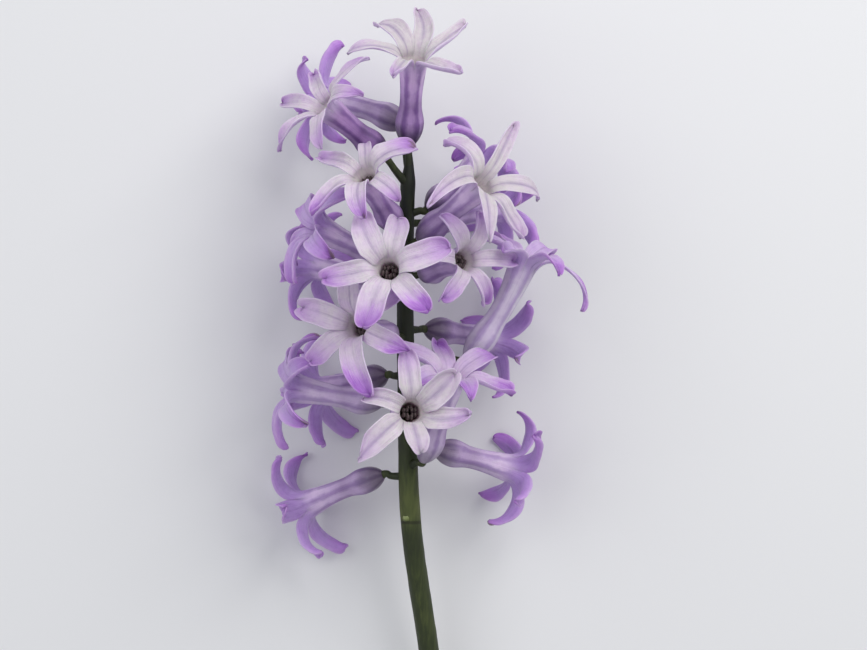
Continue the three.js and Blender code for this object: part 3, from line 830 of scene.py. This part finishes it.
def ramp(tree, value, stops):
    """A colour for each value, from a list of places and colours."""
    node = add_node(tree, "ShaderNodeValToRGB", {"Fac": value})
    elements = node.color_ramp.elements
    while len(elements) < len(stops):
        elements.new(1.0)
    for element, (place, colour) in zip(elements, stops):
        element.position = place
        element.color = (*colour, 1)
    return node.outputs["Color"]


def blend_colour(tree, share, a, b, blend_type="MIX"):
    """Colour a with b laid over it by share."""
    node = add_node(tree, "ShaderNodeMix", data_type="RGBA", blend_type=blend_type)
    for socket, value in ((node.inputs[0], share), (node.inputs[6], a), (node.inputs[7], b)):
        if isinstance(value, bpy.types.NodeSocket):
            tree.links.new(value, socket)
        else:
            socket.default_value = (*value, 1) if isinstance(value, tuple) else value
    return node.outputs[2]


def add_bump(tree, shader, height, strength, distance):
    """Lets the shader's light follow small heights."""
    bump = add_node(tree, "ShaderNodeBump", {"Height": height, "Strength": strength, "Distance": distance})
    tree.links.new(bump.outputs["Normal"], shader.inputs["Normal"])


print("node helpers are ready")

# %% [markdown]
# The petals' colour follows the bell. Outside, the tube is purple with darker ribs and a blue-grey
# bulb, and towards its base, where it meets the stalk, it is painted near-black as shade. Inside, the
# throat is painted darker the deeper it goes, as shade, and the lobes start almost white, turn lilac and
# end in violet tips. Older bells have faded: their throats have dried light brown, still with the
# painted shade deeper in, their lobes are cream with a grey-violet band along the midrib that is painted
# shade of the lobe's channel, and each lobe keeps a violet tip of its own strength. One colour for all
# petals would look like plastic, so each of these is a ramp or a tint of its own.

# %% The colours of a petal
VIOLET_TIP = (0.5, 0.23, 0.69)
DEEPEST_TIP = (0.28, 0.09, 0.45)
DRIED_TIP = (0.17, 0.12, 0.1)
# Painted shade of the lobe's channel: a grey-violet band along the midrib of faded lobes.
FADED_CHANNEL_SHADE = (0.36, 0.28, 0.45)
# Painted shade of the groove along each midrib.
MIDRIB_GROOVE_SHADE = (0.2, 0.1, 0.32)
THIN_EDGE = (0.84, 0.76, 0.86)
PALE_RIB, DEEP_RIB = (0.54, 0.43, 0.66), (0.38, 0.22, 0.5)
PALE_BAND, DEEP_BAND = (0.78, 0.7, 0.84), (0.8, 0.58, 0.88)
DARKEST_TUBE = (0.5, 0.38, 0.56)
LOBE_BY_FADE = [
    (0.0, (0.47, 0.29, 0.68)),
    (0.28, (0.54, 0.37, 0.72)),
    (0.52, (0.62, 0.47, 0.75)),
    (0.7, (0.69, 0.56, 0.74)),
    (0.82, (0.72, 0.64, 0.72)),
    (0.93, (0.66, 0.62, 0.63)),
]
BACK_BY_FADE = [
    (0.0, (0.49, 0.31, 0.69)),
    (0.5, (0.56, 0.4, 0.73)),
    (0.9, (0.65, 0.55, 0.74)),
]
# The inside of the tube by place along the bell, painted darker deeper in as the shade inside the tube.
THROAT_AND_SHADE_BY_PLACE = [
    (0.0, (0.24, 0.19, 0.2)),
    (0.55, (0.32, 0.25, 0.25)),
    (0.76, (0.44, 0.36, 0.34)),
    (0.93, (0.82, 0.77, 0.76)),
]
# Dried throats are light brown, and they too are painted darker deeper in as shade.
DRIED_THROAT_AND_SHADE_BY_PLACE = [
    (0.0, (0.34, 0.28, 0.26)),
    (0.6, (0.46, 0.38, 0.35)),
    (0.82, (0.62, 0.55, 0.5)),
    (0.95, (0.84, 0.79, 0.76)),
]
# Times the tube's colour by place along the bell. The near-black start is painted shade where the bell meets
# its stalk. Further along come the blue-grey bulb and the paler upper tube.
TUBE_TONE_AND_SHADE_BY_PLACE = [
    (0.0, (0.03, 0.02, 0.035)),
    (0.08, (0.065, 0.05, 0.08)),
    (0.16, (0.21, 0.18, 0.25)),
    (0.28, (0.6, 0.54, 0.66)),
    (0.48, (0.5, 0.44, 0.56)),
    (0.66, (0.82, 0.78, 0.87)),
    (0.84, (1.0, 1.0, 1.0)),
]
MOTTLE = [
    (0.36, (0.84, 0.78, 0.88)),
    (0.5, (0.97, 0.96, 0.98)),
    (0.62, (1.0, 1.0, 1.0)),
]
print("a lobe goes through", len(LOBE_BY_FADE), "colours as it fades")

# %% [markdown]
# A spot of a petal knows its place from the values that the mesh carries. Chance adds to them: soft
# clouds, and veins that run lengthwise because their noise is stretched that way. reach is how far out
# on the lobe a spot counts as, so that no tip begins along a straight line.

# %% What a spot of a petal knows
PETAL_VALUES = ("along", "across", "side", "inside", "fade", "deep", "chance", "tint")
STREAKS = {"across": 7.0, "along": 1.3, "lobe": 37.0}
REACH = {"drift": 0.4, "veins": 0.5, "fine veins": 0.35, "skew": 0.16, "skew turns": 9.0}


def read_value(tree, name):
    """A value that the mesh carries."""
    return add_node(tree, "ShaderNodeAttribute", attribute_name=name).outputs["Fac"]


def petal_spot(tree):
    """The values that one spot of a petal is coloured by."""
    spot = {name: read_value(tree, name) for name in PETAL_VALUES}
    place = add_node(tree, "ShaderNodeTexCoord").outputs["Object"]
    streak_place = add_node(tree, "ShaderNodeCombineXYZ", {
        "X": times(tree, spot["side"], STREAKS["across"]),
        "Y": times(tree, spot["along"], STREAKS["along"]),
        "Z": times(tree, spot["chance"], STREAKS["lobe"]),
    }).outputs["Vector"]
    veins, fine_veins = noise(tree, streak_place, 1.6, 4.0), noise(tree, streak_place, 4.5, 2.0)
    turned = work_out(tree, "SINE", times(tree, spot["chance"], REACH["skew turns"]))
    spot["drift"] = minus(tree, noise(tree, place, 300.0, 4.0), 0.5)
    spot["past mouth"] = minus(tree, spot["along"], 1.0)
    spot["reach"] = weighted(
        tree,
        spot["past mouth"],
        (spot["drift"], REACH["drift"]),
        (minus(tree, veins, 0.5), REACH["veins"]),
        (minus(tree, fine_veins, 0.5), REACH["fine veins"]),
        (times(tree, turned, spot["side"]), REACH["skew"]),
    )
    return {**spot, "place": place, "veins": veins, "fine veins": fine_veins}


print("a petal is coloured by", len(PETAL_VALUES), "values")


# %% The inner and the outer face
def tip_colour(tree, body, spot, reach):
    """The body's colour with a violet tip laid over it, stronger on some lobes than on others."""
    wash = times(tree, span(tree, reach, 0.42, 0.92), spot["tint"], clamp=True)
    body = blend_colour(tree, wash, body, VIOLET_TIP)
    deepest = times(tree, span(tree, reach, 0.72, 1.05), spot["tint"], clamp=True)
    body = blend_colour(tree, times(tree, deepest, 0.8), body, DEEPEST_TIP)
    dry = times(tree, span(tree, reach, 0.95, 1.08), span(tree, spot["chance"], 0.62, 0.8))
    return blend_colour(tree, times(tree, dry, 0.8), body, DRIED_TIP)


def inner_colour(tree, spot):
    """The face that shows inside the bell: a throat painted darker deeper in as shade, pale or lilac lobes,
    violet tips.
    """
    along, fade, reach = spot["along"], spot["fade"], spot["reach"]
    start = work_out(tree, "ADD", fade, 0.15)
    paleness = weighted(tree, start, (spot["past mouth"], -0.2), (spot["drift"], 0.5))
    body = ramp(tree, times(tree, paleness, 0.8), LOBE_BY_FADE)
    # A grey-violet band along the midrib of faded lobes, painted as the shade of the lobe's channel.
    band = times(tree, span(tree, spot["across"], 0.42, 0.05), span(tree, reach, 0.1, 0.4))
    band = times(tree, band, span(tree, fade, 0.9, 1.0, 0.0, 0.45))
    body = blend_colour(tree, band, body, FADED_CHANNEL_SHADE)
    body = tip_colour(tree, body, spot, reach)
    # Painted shade: both throat ramps darken the deeper they go into the tube.
    throat, dried = ramp(tree, along, THROAT_AND_SHADE_BY_PLACE), ramp(tree, along, DRIED_THROAT_AND_SHADE_BY_PLACE)
    throat = blend_colour(tree, span(tree, fade, 0.955, 0.985), throat, dried)
    return blend_colour(tree, span(tree, along, 0.94, 1.08), throat, body)


def outer_colour(tree, spot):
    """The face that shows outside: a tube with soft dark ribs, light bands and a base painted near-black as
    shade, then the lobes' backs.
    """
    along, deep, drift = spot["along"], spot["deep"], spot["drift"]
    rib, band = blend_colour(tree, deep, PALE_RIB, DEEP_RIB), blend_colour(tree, deep, PALE_BAND, DEEP_BAND)
    tube = blend_colour(tree, span(tree, work_out(tree, "ADD", spot["across"], drift), 0.0, 0.7), rib, band)
    # Painted shade: the tube darkens to near-black towards its base.
    lengthwise = ramp(tree, weighted(tree, along, (drift, 0.1)), TUBE_TONE_AND_SHADE_BY_PLACE)
    shaded = blend_colour(tree, 1.0, tube, lengthwise, "MULTIPLY")
    tube = blend_colour(tree, span(tree, deep, -0.5, 1.0), tube, shaded)
    darkest = blend_colour(tree, 1.0, tube, DARKEST_TUBE, "MULTIPLY")
    tube = blend_colour(tree, span(tree, deep, 1.0, 1.5), tube, darkest)
    back = ramp(tree, weighted(tree, spot["fade"], (drift, 0.5)), BACK_BY_FADE)
    back = tip_colour(tree, back, spot, minus(tree, spot["reach"], 0.12))
    return blend_colour(tree, span(tree, along, 0.84, 1.2), tube, back)


print("petal faces: inner and outer")

# %% [markdown]
# Petal tissue is waxy and lets a little light through, so the shader gets some subsurface light and a
# faint sheen. Over the colours lie a thin dark line in the groove along each midrib, painted as the
# groove's shade, soft blotches, and an edge that pales where it is thin. Veins and cells raise a fine
# relief.


# %% Petal material
def petal_material():
    """Waxy petal tissue, coloured by the values that the mesh carries."""
    material, tree, shader = new_material("hyacinth_petal")
    spot = petal_spot(tree)
    across, past_mouth, veins = spot["across"], spot["past mouth"], spot["veins"]
    colour = blend_colour(tree, spot["inside"], outer_colour(tree, spot), inner_colour(tree, spot))

    # Painted shade: a thin dark line in the midrib's groove, as wide as the groove.
    rib = times(tree, span(tree, across, 0.14, 0.02), span(tree, past_mouth, 0.95, 0.5))
    rib = times(tree, rib, span(tree, past_mouth, 0.0, 0.15))
    rib = times(tree, rib, span(tree, spot["chance"], -1.0, 1.0, 0.06, 0.3))
    colour = blend_colour(tree, rib, colour, MIDRIB_GROOVE_SHADE)

    patches = noise(tree, spot["place"], 850.0, 3.0)
    shade = weighted(tree, times(tree, veins, 0.65), (patches, 0.35))
    colour = blend_colour(tree, 1.0, colour, ramp(tree, shade, MOTTLE), "MULTIPLY")
    edge = times(tree, span(tree, across, 0.82, 1.0), span(tree, spot["along"], 1.1, 1.4, 0.0, 0.14))
    colour = blend_colour(tree, edge, colour, THIN_EDGE)
    tree.links.new(colour, shader.inputs["Base Color"])

    cells = noise(tree, spot["place"], 2600.0, 2.0)
    vein_height = weighted(tree, veins, (spot["fine veins"], 0.4))
    relief = times(tree, vein_height, span(tree, past_mouth, -0.1, 0.2, 0.15, 1.0))
    add_bump(tree, shader, weighted(tree, relief, (cells, 0.4)), 0.5, 0.4 * MM)
    tree.links.new(span(tree, cells, 0.3, 0.7, 0.4, 0.55), shader.inputs["Roughness"])
    set_constants(shader, {
        "Subsurface Weight": 0.35,
        "Subsurface Radius": (1.0, 0.6, 1.0),
        "Subsurface Scale": 1.5 * MM,
        "Sheen Weight": 0.1,
        "Sheen Roughness": 0.4,
    })
    return material


petal = petal_material()
print("petal material:", len(petal.node_tree.nodes), "nodes")

# %% [markdown]
# Now every bell gets its skin. All of them could be one mesh, but each stands for its own CAD node, so
# each is a piece.

# %% Make the twenty bells
TABLE_CLEARANCE = 0.02


def rest_on_table(mesh):
    """Lifts every point that would reach into the table."""
    points = np.empty(3 * len(mesh.vertices), np.float32)
    mesh.vertices.foreach_get("co", points)
    points[2::3] = np.maximum(points[2::3], TABLE_CLEARANCE * MM)
    mesh.vertices.foreach_set("co", points)


def smooth_piece(name, mesh):
    """A smooth object from a mesh, resting on the table and linked to the scene."""
    mesh.polygons.foreach_set("use_smooth", np.ones(len(mesh.polygons), bool))
    rest_on_table(mesh)
    piece = bpy.data.objects.new(name, mesh)
    bpy.context.scene.collection.objects.link(piece)
    return piece


def carry(mesh, name, value):
    """Stores one value for each point of the mesh."""
    attribute = mesh.attributes.new(name, "FLOAT", "POINT")
    attribute.data.foreach_set("value", np.asarray(value, np.float32))


bell_pieces = []
for number, bell in enumerate(BELLS):
    name = f"petals_{number + 1:02d}"
    points, faces, values = skin(*bell_grid(bell, number))
    mesh = bpy.data.meshes.new(name)
    mesh.from_pydata(((points - ORIGIN) * MM).tolist(), [], faces.tolist())
    mesh.materials.append(petal)
    values["fade"] = np.full(len(points), bell["fade"])
    values["deep"] = np.full(len(points), bell["deep"])
    for label, value in values.items():
        carry(mesh, label, value)
    bell_pieces.append(smooth_piece(name, mesh))
triangles = 2 * sum(len(piece.data.polygons) for piece in bell_pieces)
print("bells made:", len(bell_pieces), "with", triangles, "triangles")

# %% [markdown]
# The green parts all follow lines: the stem, the little stalks, and the ovary and style that end each
# stalk inside its bell. A bevelled curve could draw each of them alone. One Geometry Nodes tree grows
# them all at once: it turns each line of points into a smooth curve, gives it the thickness that its
# points carry, and wraps it in a round skin. STEM_LUMPS stretches the noise that makes the skin a little
# uneven, so that its low swellings run along the stem.


# %% A tree that grows round stems along lines
def new_tree(name, inputs):
    """An empty Geometry Nodes tree, the sockets of its named inputs, and its output node."""
    tree = bpy.data.node_groups.new(name, "GeometryNodeTree")
    tree.interface.new_socket("Geometry", in_out="INPUT", socket_type="NodeSocketGeometry")
    for label, kind in inputs.items():
        tree.interface.new_socket(label, in_out="INPUT", socket_type=kind)
    tree.interface.new_socket("Geometry", in_out="OUTPUT", socket_type="NodeSocketGeometry")
    return tree, tree.nodes.new("NodeGroupInput").outputs, tree.nodes.new("NodeGroupOutput")


def finish_tree(tree, geometry, material, result):
    """Ends a tree with real geometry that has its material."""
    realized = add_node(tree, "GeometryNodeRealizeInstances", {"Geometry": geometry})
    finished = add_node(tree, "GeometryNodeSetMaterial", {
        "Geometry": realized.outputs["Geometry"],
        "Material": material,
    })
    tree.links.new(finished.outputs["Geometry"], result.inputs["Geometry"])


def carried(tree, name, kind="FLOAT"):
    """A value that the points carry."""
    node = add_node(tree, "GeometryNodeInputNamedAttribute", {"Name": name}, data_type=kind)
    return node.outputs["Attribute"]


STEM_LUMPS = (900.0, 45.0, 900.0)


def stem_tree():
    """Lines in, round stems out."""
    tree, given, result = new_tree("grow_stems", {
        "Sides": "NodeSocketInt",
        "Smoothness": "NodeSocketInt",
        "Unevenness": "NodeSocketFloat",
        "Material": "NodeSocketMaterial",
    })
    lines = add_node(tree, "GeometryNodeMeshToCurve", {"Mesh": given["Geometry"]}).outputs["Curve"]
    flowing_lines = add_node(
        tree, "GeometryNodeCurveSplineType", {"Curve": lines}, spline_type="CATMULL_ROM"
    ).outputs["Curve"]
    fine = add_node(tree, "GeometryNodeSetSplineResolution", {
        "Geometry": flowing_lines,
        "Resolution": given["Smoothness"],
    })
    ring = add_node(tree, "GeometryNodeCurvePrimitiveCircle", {"Resolution": given["Sides"], "Radius": 1.0})
    round_skin = add_node(tree, "GeometryNodeCurveToMesh", {
        "Curve": fine.outputs["Geometry"],
        "Profile Curve": ring.outputs["Curve"],
        "Scale": carried(tree, "thick"),
        "Fill Caps": True,
    })
    where = add_node(tree, "GeometryNodeInputPosition").outputs["Position"]
    drawn_out = add_node(tree, "ShaderNodeVectorMath", {0: where, 1: STEM_LUMPS}, operation="MULTIPLY")
    uneven = minus(tree, noise(tree, drawn_out.outputs[0], 1.0, 2.0), 0.5)
    height = times(tree, uneven, given["Unevenness"])
    normal = add_node(tree, "GeometryNodeInputNormal").outputs["Normal"]
    push = add_node(tree, "ShaderNodeVectorMath", {0: normal, "Scale": height}, operation="SCALE")
    shaped = add_node(tree, "GeometryNodeSetPosition", {
        "Geometry": round_skin.outputs["Mesh"],
        "Offset": push.outputs["Vector"],
    })
    finish_tree(tree, shaped.outputs["Geometry"], given["Material"], result)
    return tree


grow_stems = stem_tree()
print("tree", grow_stems.name, "has", len(grow_stems.nodes), "nodes")


# %% Grow a tree's result into a plain mesh
def grow(name, start, tree, inputs):
    """Runs a tree on a starting mesh and keeps the result as one plain, smooth piece."""
    seed = bpy.data.objects.new(name + "_seed", start)
    bpy.context.scene.collection.objects.link(seed)
    modifier = seed.modifiers.new("grow", "NODES")
    modifier.node_group = tree
    for item in tree.interface.items_tree:
        if item.in_out == "INPUT" and item.name in inputs:
            modifier[item.identifier] = inputs[item.name]
    seed.update_tag()
    depsgraph = bpy.context.evaluated_depsgraph_get()
    mesh = bpy.data.meshes.new_from_object(seed.evaluated_get(depsgraph), depsgraph=depsgraph)
    bpy.data.objects.remove(seed)
    mesh.name = name
    print(name, "has", len(mesh.polygons), "faces")
    return smooth_piece(name, mesh)


# %% [markdown]
# The stem is olive green below, and up in the spike it is painted nearly black-green as the shade
# under the bells. It has fine lengthwise streaks. The little stalks are a lighter green, and the ovary is
# pale. Each could have a material of its own, but the greens run into each other. So one ramp holds them
# all, and each point carries its place on it. A dark ring on the stem marks an old scar.

# %% Green material
# The near-black first stops also serve the painted shade on the stem up in the spike.
GREENS = [
    (0.0, (0.012, 0.016, 0.010)),
    (0.2, (0.035, 0.046, 0.016)),
    (0.4, (0.095, 0.115, 0.035)),
    (0.62, (0.24, 0.29, 0.11)),
    (0.8, (0.42, 0.46, 0.27)),
    (1.0, (0.66, 0.64, 0.52)),
]
STEM_STREAKS = (1500.0, 45.0, 1500.0)
SCAR_DARK = (0.02, 0.022, 0.01)
SCAR = {"at": -15.0, "solid": 0.2, "gone": 0.6}


def green_material():
    """Fleshy green tissue from olive to cream, nearly black where the shade under the bells is painted on.
    """
    material, tree, shader = new_material("hyacinth_green")
    light = read_value(tree, "light")
    place = add_node(tree, "ShaderNodeTexCoord").outputs["Object"]
    lengthwise = add_node(tree, "ShaderNodeMapping", {"Vector": place, "Scale": STEM_STREAKS})
    streaks = noise(tree, lengthwise.outputs["Vector"], 1.0, 4.0)
    patches = noise(tree, place, 120.0, 3.0)
    change = weighted(tree, times(tree, streaks, 0.3), (patches, 0.2))
    tone = work_out(tree, "ADD", light, minus(tree, change, 0.25), clamp=True)
    height = add_node(tree, "ShaderNodeSeparateXYZ", {"Vector": place}).outputs["Y"]
    from_scar = work_out(tree, "ABSOLUTE", minus(tree, height, SCAR["at"] * MM))
    scar = span(tree, from_scar, SCAR["gone"] * MM, SCAR["solid"] * MM, 0.0, 0.75)
    colour = blend_colour(tree, scar, ramp(tree, tone, GREENS), SCAR_DARK)
    tree.links.new(colour, shader.inputs["Base Color"])
    add_bump(tree, shader, streaks, 0.4, 0.4 * MM)
    tree.links.new(span(tree, streaks, 0.3, 0.7, 0.45, 0.6), shader.inputs["Roughness"])
    set_constants(shader, {
        "Specular IOR Level": 0.3,
        "Subsurface Weight": 0.08,
        "Subsurface Radius": (0.6, 1.0, 0.3),
        "Subsurface Scale": 0.8 * MM,
    })
    return material


green = green_material()
print("green material:", len(green.node_tree.nodes), "nodes")

# %% [markdown]
# Each line is a list of points with a radius and a place on the green ramp. The stem is one line, and
# every bell adds one: stalk, swelling under the bell, then ovary and style inside it. A short stub marks
# where a bell has fallen off. A stalk is wider at its foot and its head. PISTIL holds the ovary and style
# inside a bell: the distance from the bell's base, the radius and the green. STUB_FORM does the same for
# the stub, in shares of its length and radius.

# %% The lines of the green parts
STEM_POINTS = 60
# The stem's place on the green ramp along its length. The low values from 25 mm upward are painted shade
# under the bells of the spike.
STEM_TONE_AND_SPIKE_SHADE = np.array([
    [-106, 0.2],
    [-40, 0.21],
    [-16, 0.18],
    [-15, 0.4],
    [0, 0.2],
    [25, 0.05],
    [72, 0.03],
])
STALK_RADIUS = 0.85
STALK_FOOT = 1.3
STALK_HEAD = 1.15
PISTIL = [
    (0.6, 1.0, 0.55),
    (1.8, 1.575, 0.6),
    (4, 1.75, 0.6),
    (6, 0.55, 0.75),
    (10, 0.55, 0.85),
]
STUB = {"at": -15.5, "side": 118, "rise": 35, "radius": 1.0, "stands": 0.9}
STUB_FORM = [(0.5, 1, 0.4), (0.85, 1, 0.45), (1.05, 0.6, 0.68)]


def stem_points():
    """The stem's own line."""
    ys = np.linspace(STEM_AXIS[0, 1], STEM_AXIS[-1, 1], STEM_POINTS)
    light = np.interp(ys, *STEM_TONE_AND_SPIKE_SHADE.T)
    return [(stem_at(y), stem_radius(y), float(shade)) for y, shade in zip(ys, light)]


def stalk_points(bell):
    """The line of one little stalk, with the ovary and the style that end it."""
    root, outward, base, start, frame_at = seat(bell)
    near, reach = stem_radius(bell["at"]), stem_radius(bell["at"]) + bell["stalk"]
    return [
        (root + outward * 0.3, STALK_RADIUS * STALK_FOOT, 0.08),
        (root + outward * (near + 0.35 * bell["stalk"]), STALK_RADIUS, 0.16),
        (base - start * min(2, 0.3 * reach), STALK_RADIUS, 0.24),
        (base - start * 0.8, STALK_RADIUS * STALK_HEAD, 0.26),
        *[(frame_at(distance)[0], radius, light) for distance, radius, light in PISTIL],
    ]


def stub_points():
    """The stub of a shed bell."""
    centre = stem_at(STUB["at"])
    outward = heading(STUB["side"], STUB["rise"])
    reach = stem_radius(STUB["at"]) + STUB["stands"]
    return [
        (centre + outward * share * reach, STUB["radius"] * wide, light) for share, wide, light in STUB_FORM
    ]


def line_mesh(lines):
    """A mesh of bare edges, one run of edges for each line."""
    points = np.array([point for line in lines for point, _, _ in line]) - ORIGIN
    starts = np.cumsum([0] + [len(line) for line in lines])
    edges = [(i, i + 1) for a, b in zip(starts, starts[1:]) for i in range(a, b - 1)]
    mesh = bpy.data.meshes.new("green_lines")
    mesh.from_pydata((points * MM).tolist(), edges, [])
    carry(mesh, "thick", [radius * MM for line in lines for _, radius, _ in line])
    carry(mesh, "light", [light for line in lines for _, _, light in line])
    return mesh


green_lines = [stem_points(), stub_points(), *[stalk_points(bell) for bell in BELLS]]
green_piece = grow("green_parts", line_mesh(green_lines), grow_stems, {
    "Sides": 20,
    "Smoothness": 5,
    "Unevenness": 0.25 * MM,
    "Material": green,
})

# %% [markdown]
# Six anthers stand close together inside each tube, just under the mouth, and nearly fill it. They repeat
# a hundred and twenty times, so copying them by hand is out. A second tree places them: each is a pair
# of small pollen sacs, set on a point and turned along the tube.

# %% A tree that places anthers on points
SAC = {"wide": 0.5, "deep": 0.8, "aside": 0.22}
SMALLEST, LARGEST = 0.85, 1.15


def anther_tree():
    """Points in, a pair of pollen sacs on each."""
    tree, given, result = new_tree("place_anthers", {
        "Length": "NodeSocketFloat",
        "Width": "NodeSocketFloat",
        "Seed": "NodeSocketInt",
        "Material": "NodeSocketMaterial",
    })
    sac = add_node(tree, "GeometryNodeMeshUVSphere", {"Segments": 8, "Rings": 6, "Radius": 0.5})
    wide, deep, aside = (times(tree, given["Width"], SAC[name]) for name in ("wide", "deep", "aside"))
    shape = add_node(tree, "ShaderNodeCombineXYZ", {"X": wide, "Y": deep, "Z": given["Length"]})
    pair = add_node(tree, "GeometryNodeJoinGeometry")
    for direction in (-1.0, 1.0):
        shift = add_node(tree, "ShaderNodeCombineXYZ", {"X": times(tree, aside, direction)})
        one = add_node(tree, "GeometryNodeTransform", {
            "Geometry": sac.outputs["Mesh"],
            "Translation": shift.outputs["Vector"],
            "Scale": shape.outputs["Vector"],
        })
        tree.links.new(one.outputs["Geometry"], pair.inputs["Geometry"])
    upright = add_node(tree, "FunctionNodeAlignRotationToVector", {
        "Vector": carried(tree, "upward", "FLOAT_VECTOR"),
    }, axis="Z")
    size = add_node(tree, "FunctionNodeRandomValue", {
        2: SMALLEST,
        3: LARGEST,
        "Seed": given["Seed"],
    }, data_type="FLOAT")
    placed = add_node(tree, "GeometryNodeInstanceOnPoints", {
        "Points": given["Geometry"],
        "Instance": pair.outputs["Geometry"],
        "Rotation": upright.outputs["Rotation"],
        "Scale": next(socket for socket in size.outputs if socket.enabled),
    })
    finish_tree(tree, placed.outputs["Instances"], given["Material"], result)
    return tree


place_anthers = anther_tree()
print("tree", place_anthers.name, "has", len(place_anthers.nodes), "nodes")

# %% [markdown]
# The anthers are plum-brown and dusty with a little pollen, so they are rough and finely speckled. A
# shiny brown would make them look like beads.

# %% Anther material
ANTHER_BROWNS = [
    (0.35, (0.08, 0.057, 0.062)),
    (0.52, (0.1, 0.073, 0.077)),
    (0.7, (0.14, 0.105, 0.098)),
]


def anther_material():
    """Dark, dusty anthers with a little pollen."""
    material, tree, shader = new_material("anther_brown")
    dust = noise(tree, add_node(tree, "ShaderNodeTexCoord").outputs["Object"], 2200.0, 2.0)
    tree.links.new(ramp(tree, dust, ANTHER_BROWNS), shader.inputs["Base Color"])
    add_bump(tree, shader, dust, 0.5, 0.2 * MM)
    set_constants(shader, {"Roughness": 0.8})
    return material


anther_brown = anther_material()
print("anther material:", len(anther_brown.node_tree.nodes), "nodes")

# %% Place the anthers
ANTHER_PLACE = 0.88
ANTHER_RING = 1.15
ANTHER_LEAN = 0.12


def anther_seats():
    """The point and the direction of every anther."""
    points, upwards = [], []
    for bell in BELLS:
        centre, along, x, y = seat(bell)[4](ANTHER_PLACE * bell["tube"])
        for lobe in range(LOBES):
            angle = math.radians(bell["roll"] + 360 * lobe / LOBES)
            outward = x * math.cos(angle) + y * math.sin(angle)
            points.append(centre + ANTHER_RING * outward)
            upwards.append(unit(along - ANTHER_LEAN * outward))
    return np.array(points) - ORIGIN, np.array(upwards)


seat_points, seat_upwards = anther_seats()
seats = bpy.data.meshes.new("anther_seats")
seats.from_pydata((seat_points * MM).tolist(), [], [])
upward = seats.attributes.new("upward", "FLOAT_VECTOR", "POINT")
upward.data.foreach_set("vector", seat_upwards.astype(np.float32).ravel())
anthers = grow("anthers", seats, place_anthers, {
    "Length": 2.6 * MM,
    "Width": 1.65 * MM,
    "Seed": 4,
    "Material": anther_brown,
})

# %% [markdown]
# Last, every piece is tied to the frame. The petals stand for the bells and the green parts for the stem.
# The anthers stand for no solid, and sit inside the bells. A flower has no joints, so all of them ride on
# one body.

# %% Tie the pieces to the frame
for number, piece in enumerate(bell_pieces):
    node = f"bell_{number + 1:02d}"
    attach(piece, "root")
    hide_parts(node)
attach(green_piece, "root")
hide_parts("stem")
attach(anthers, "root")
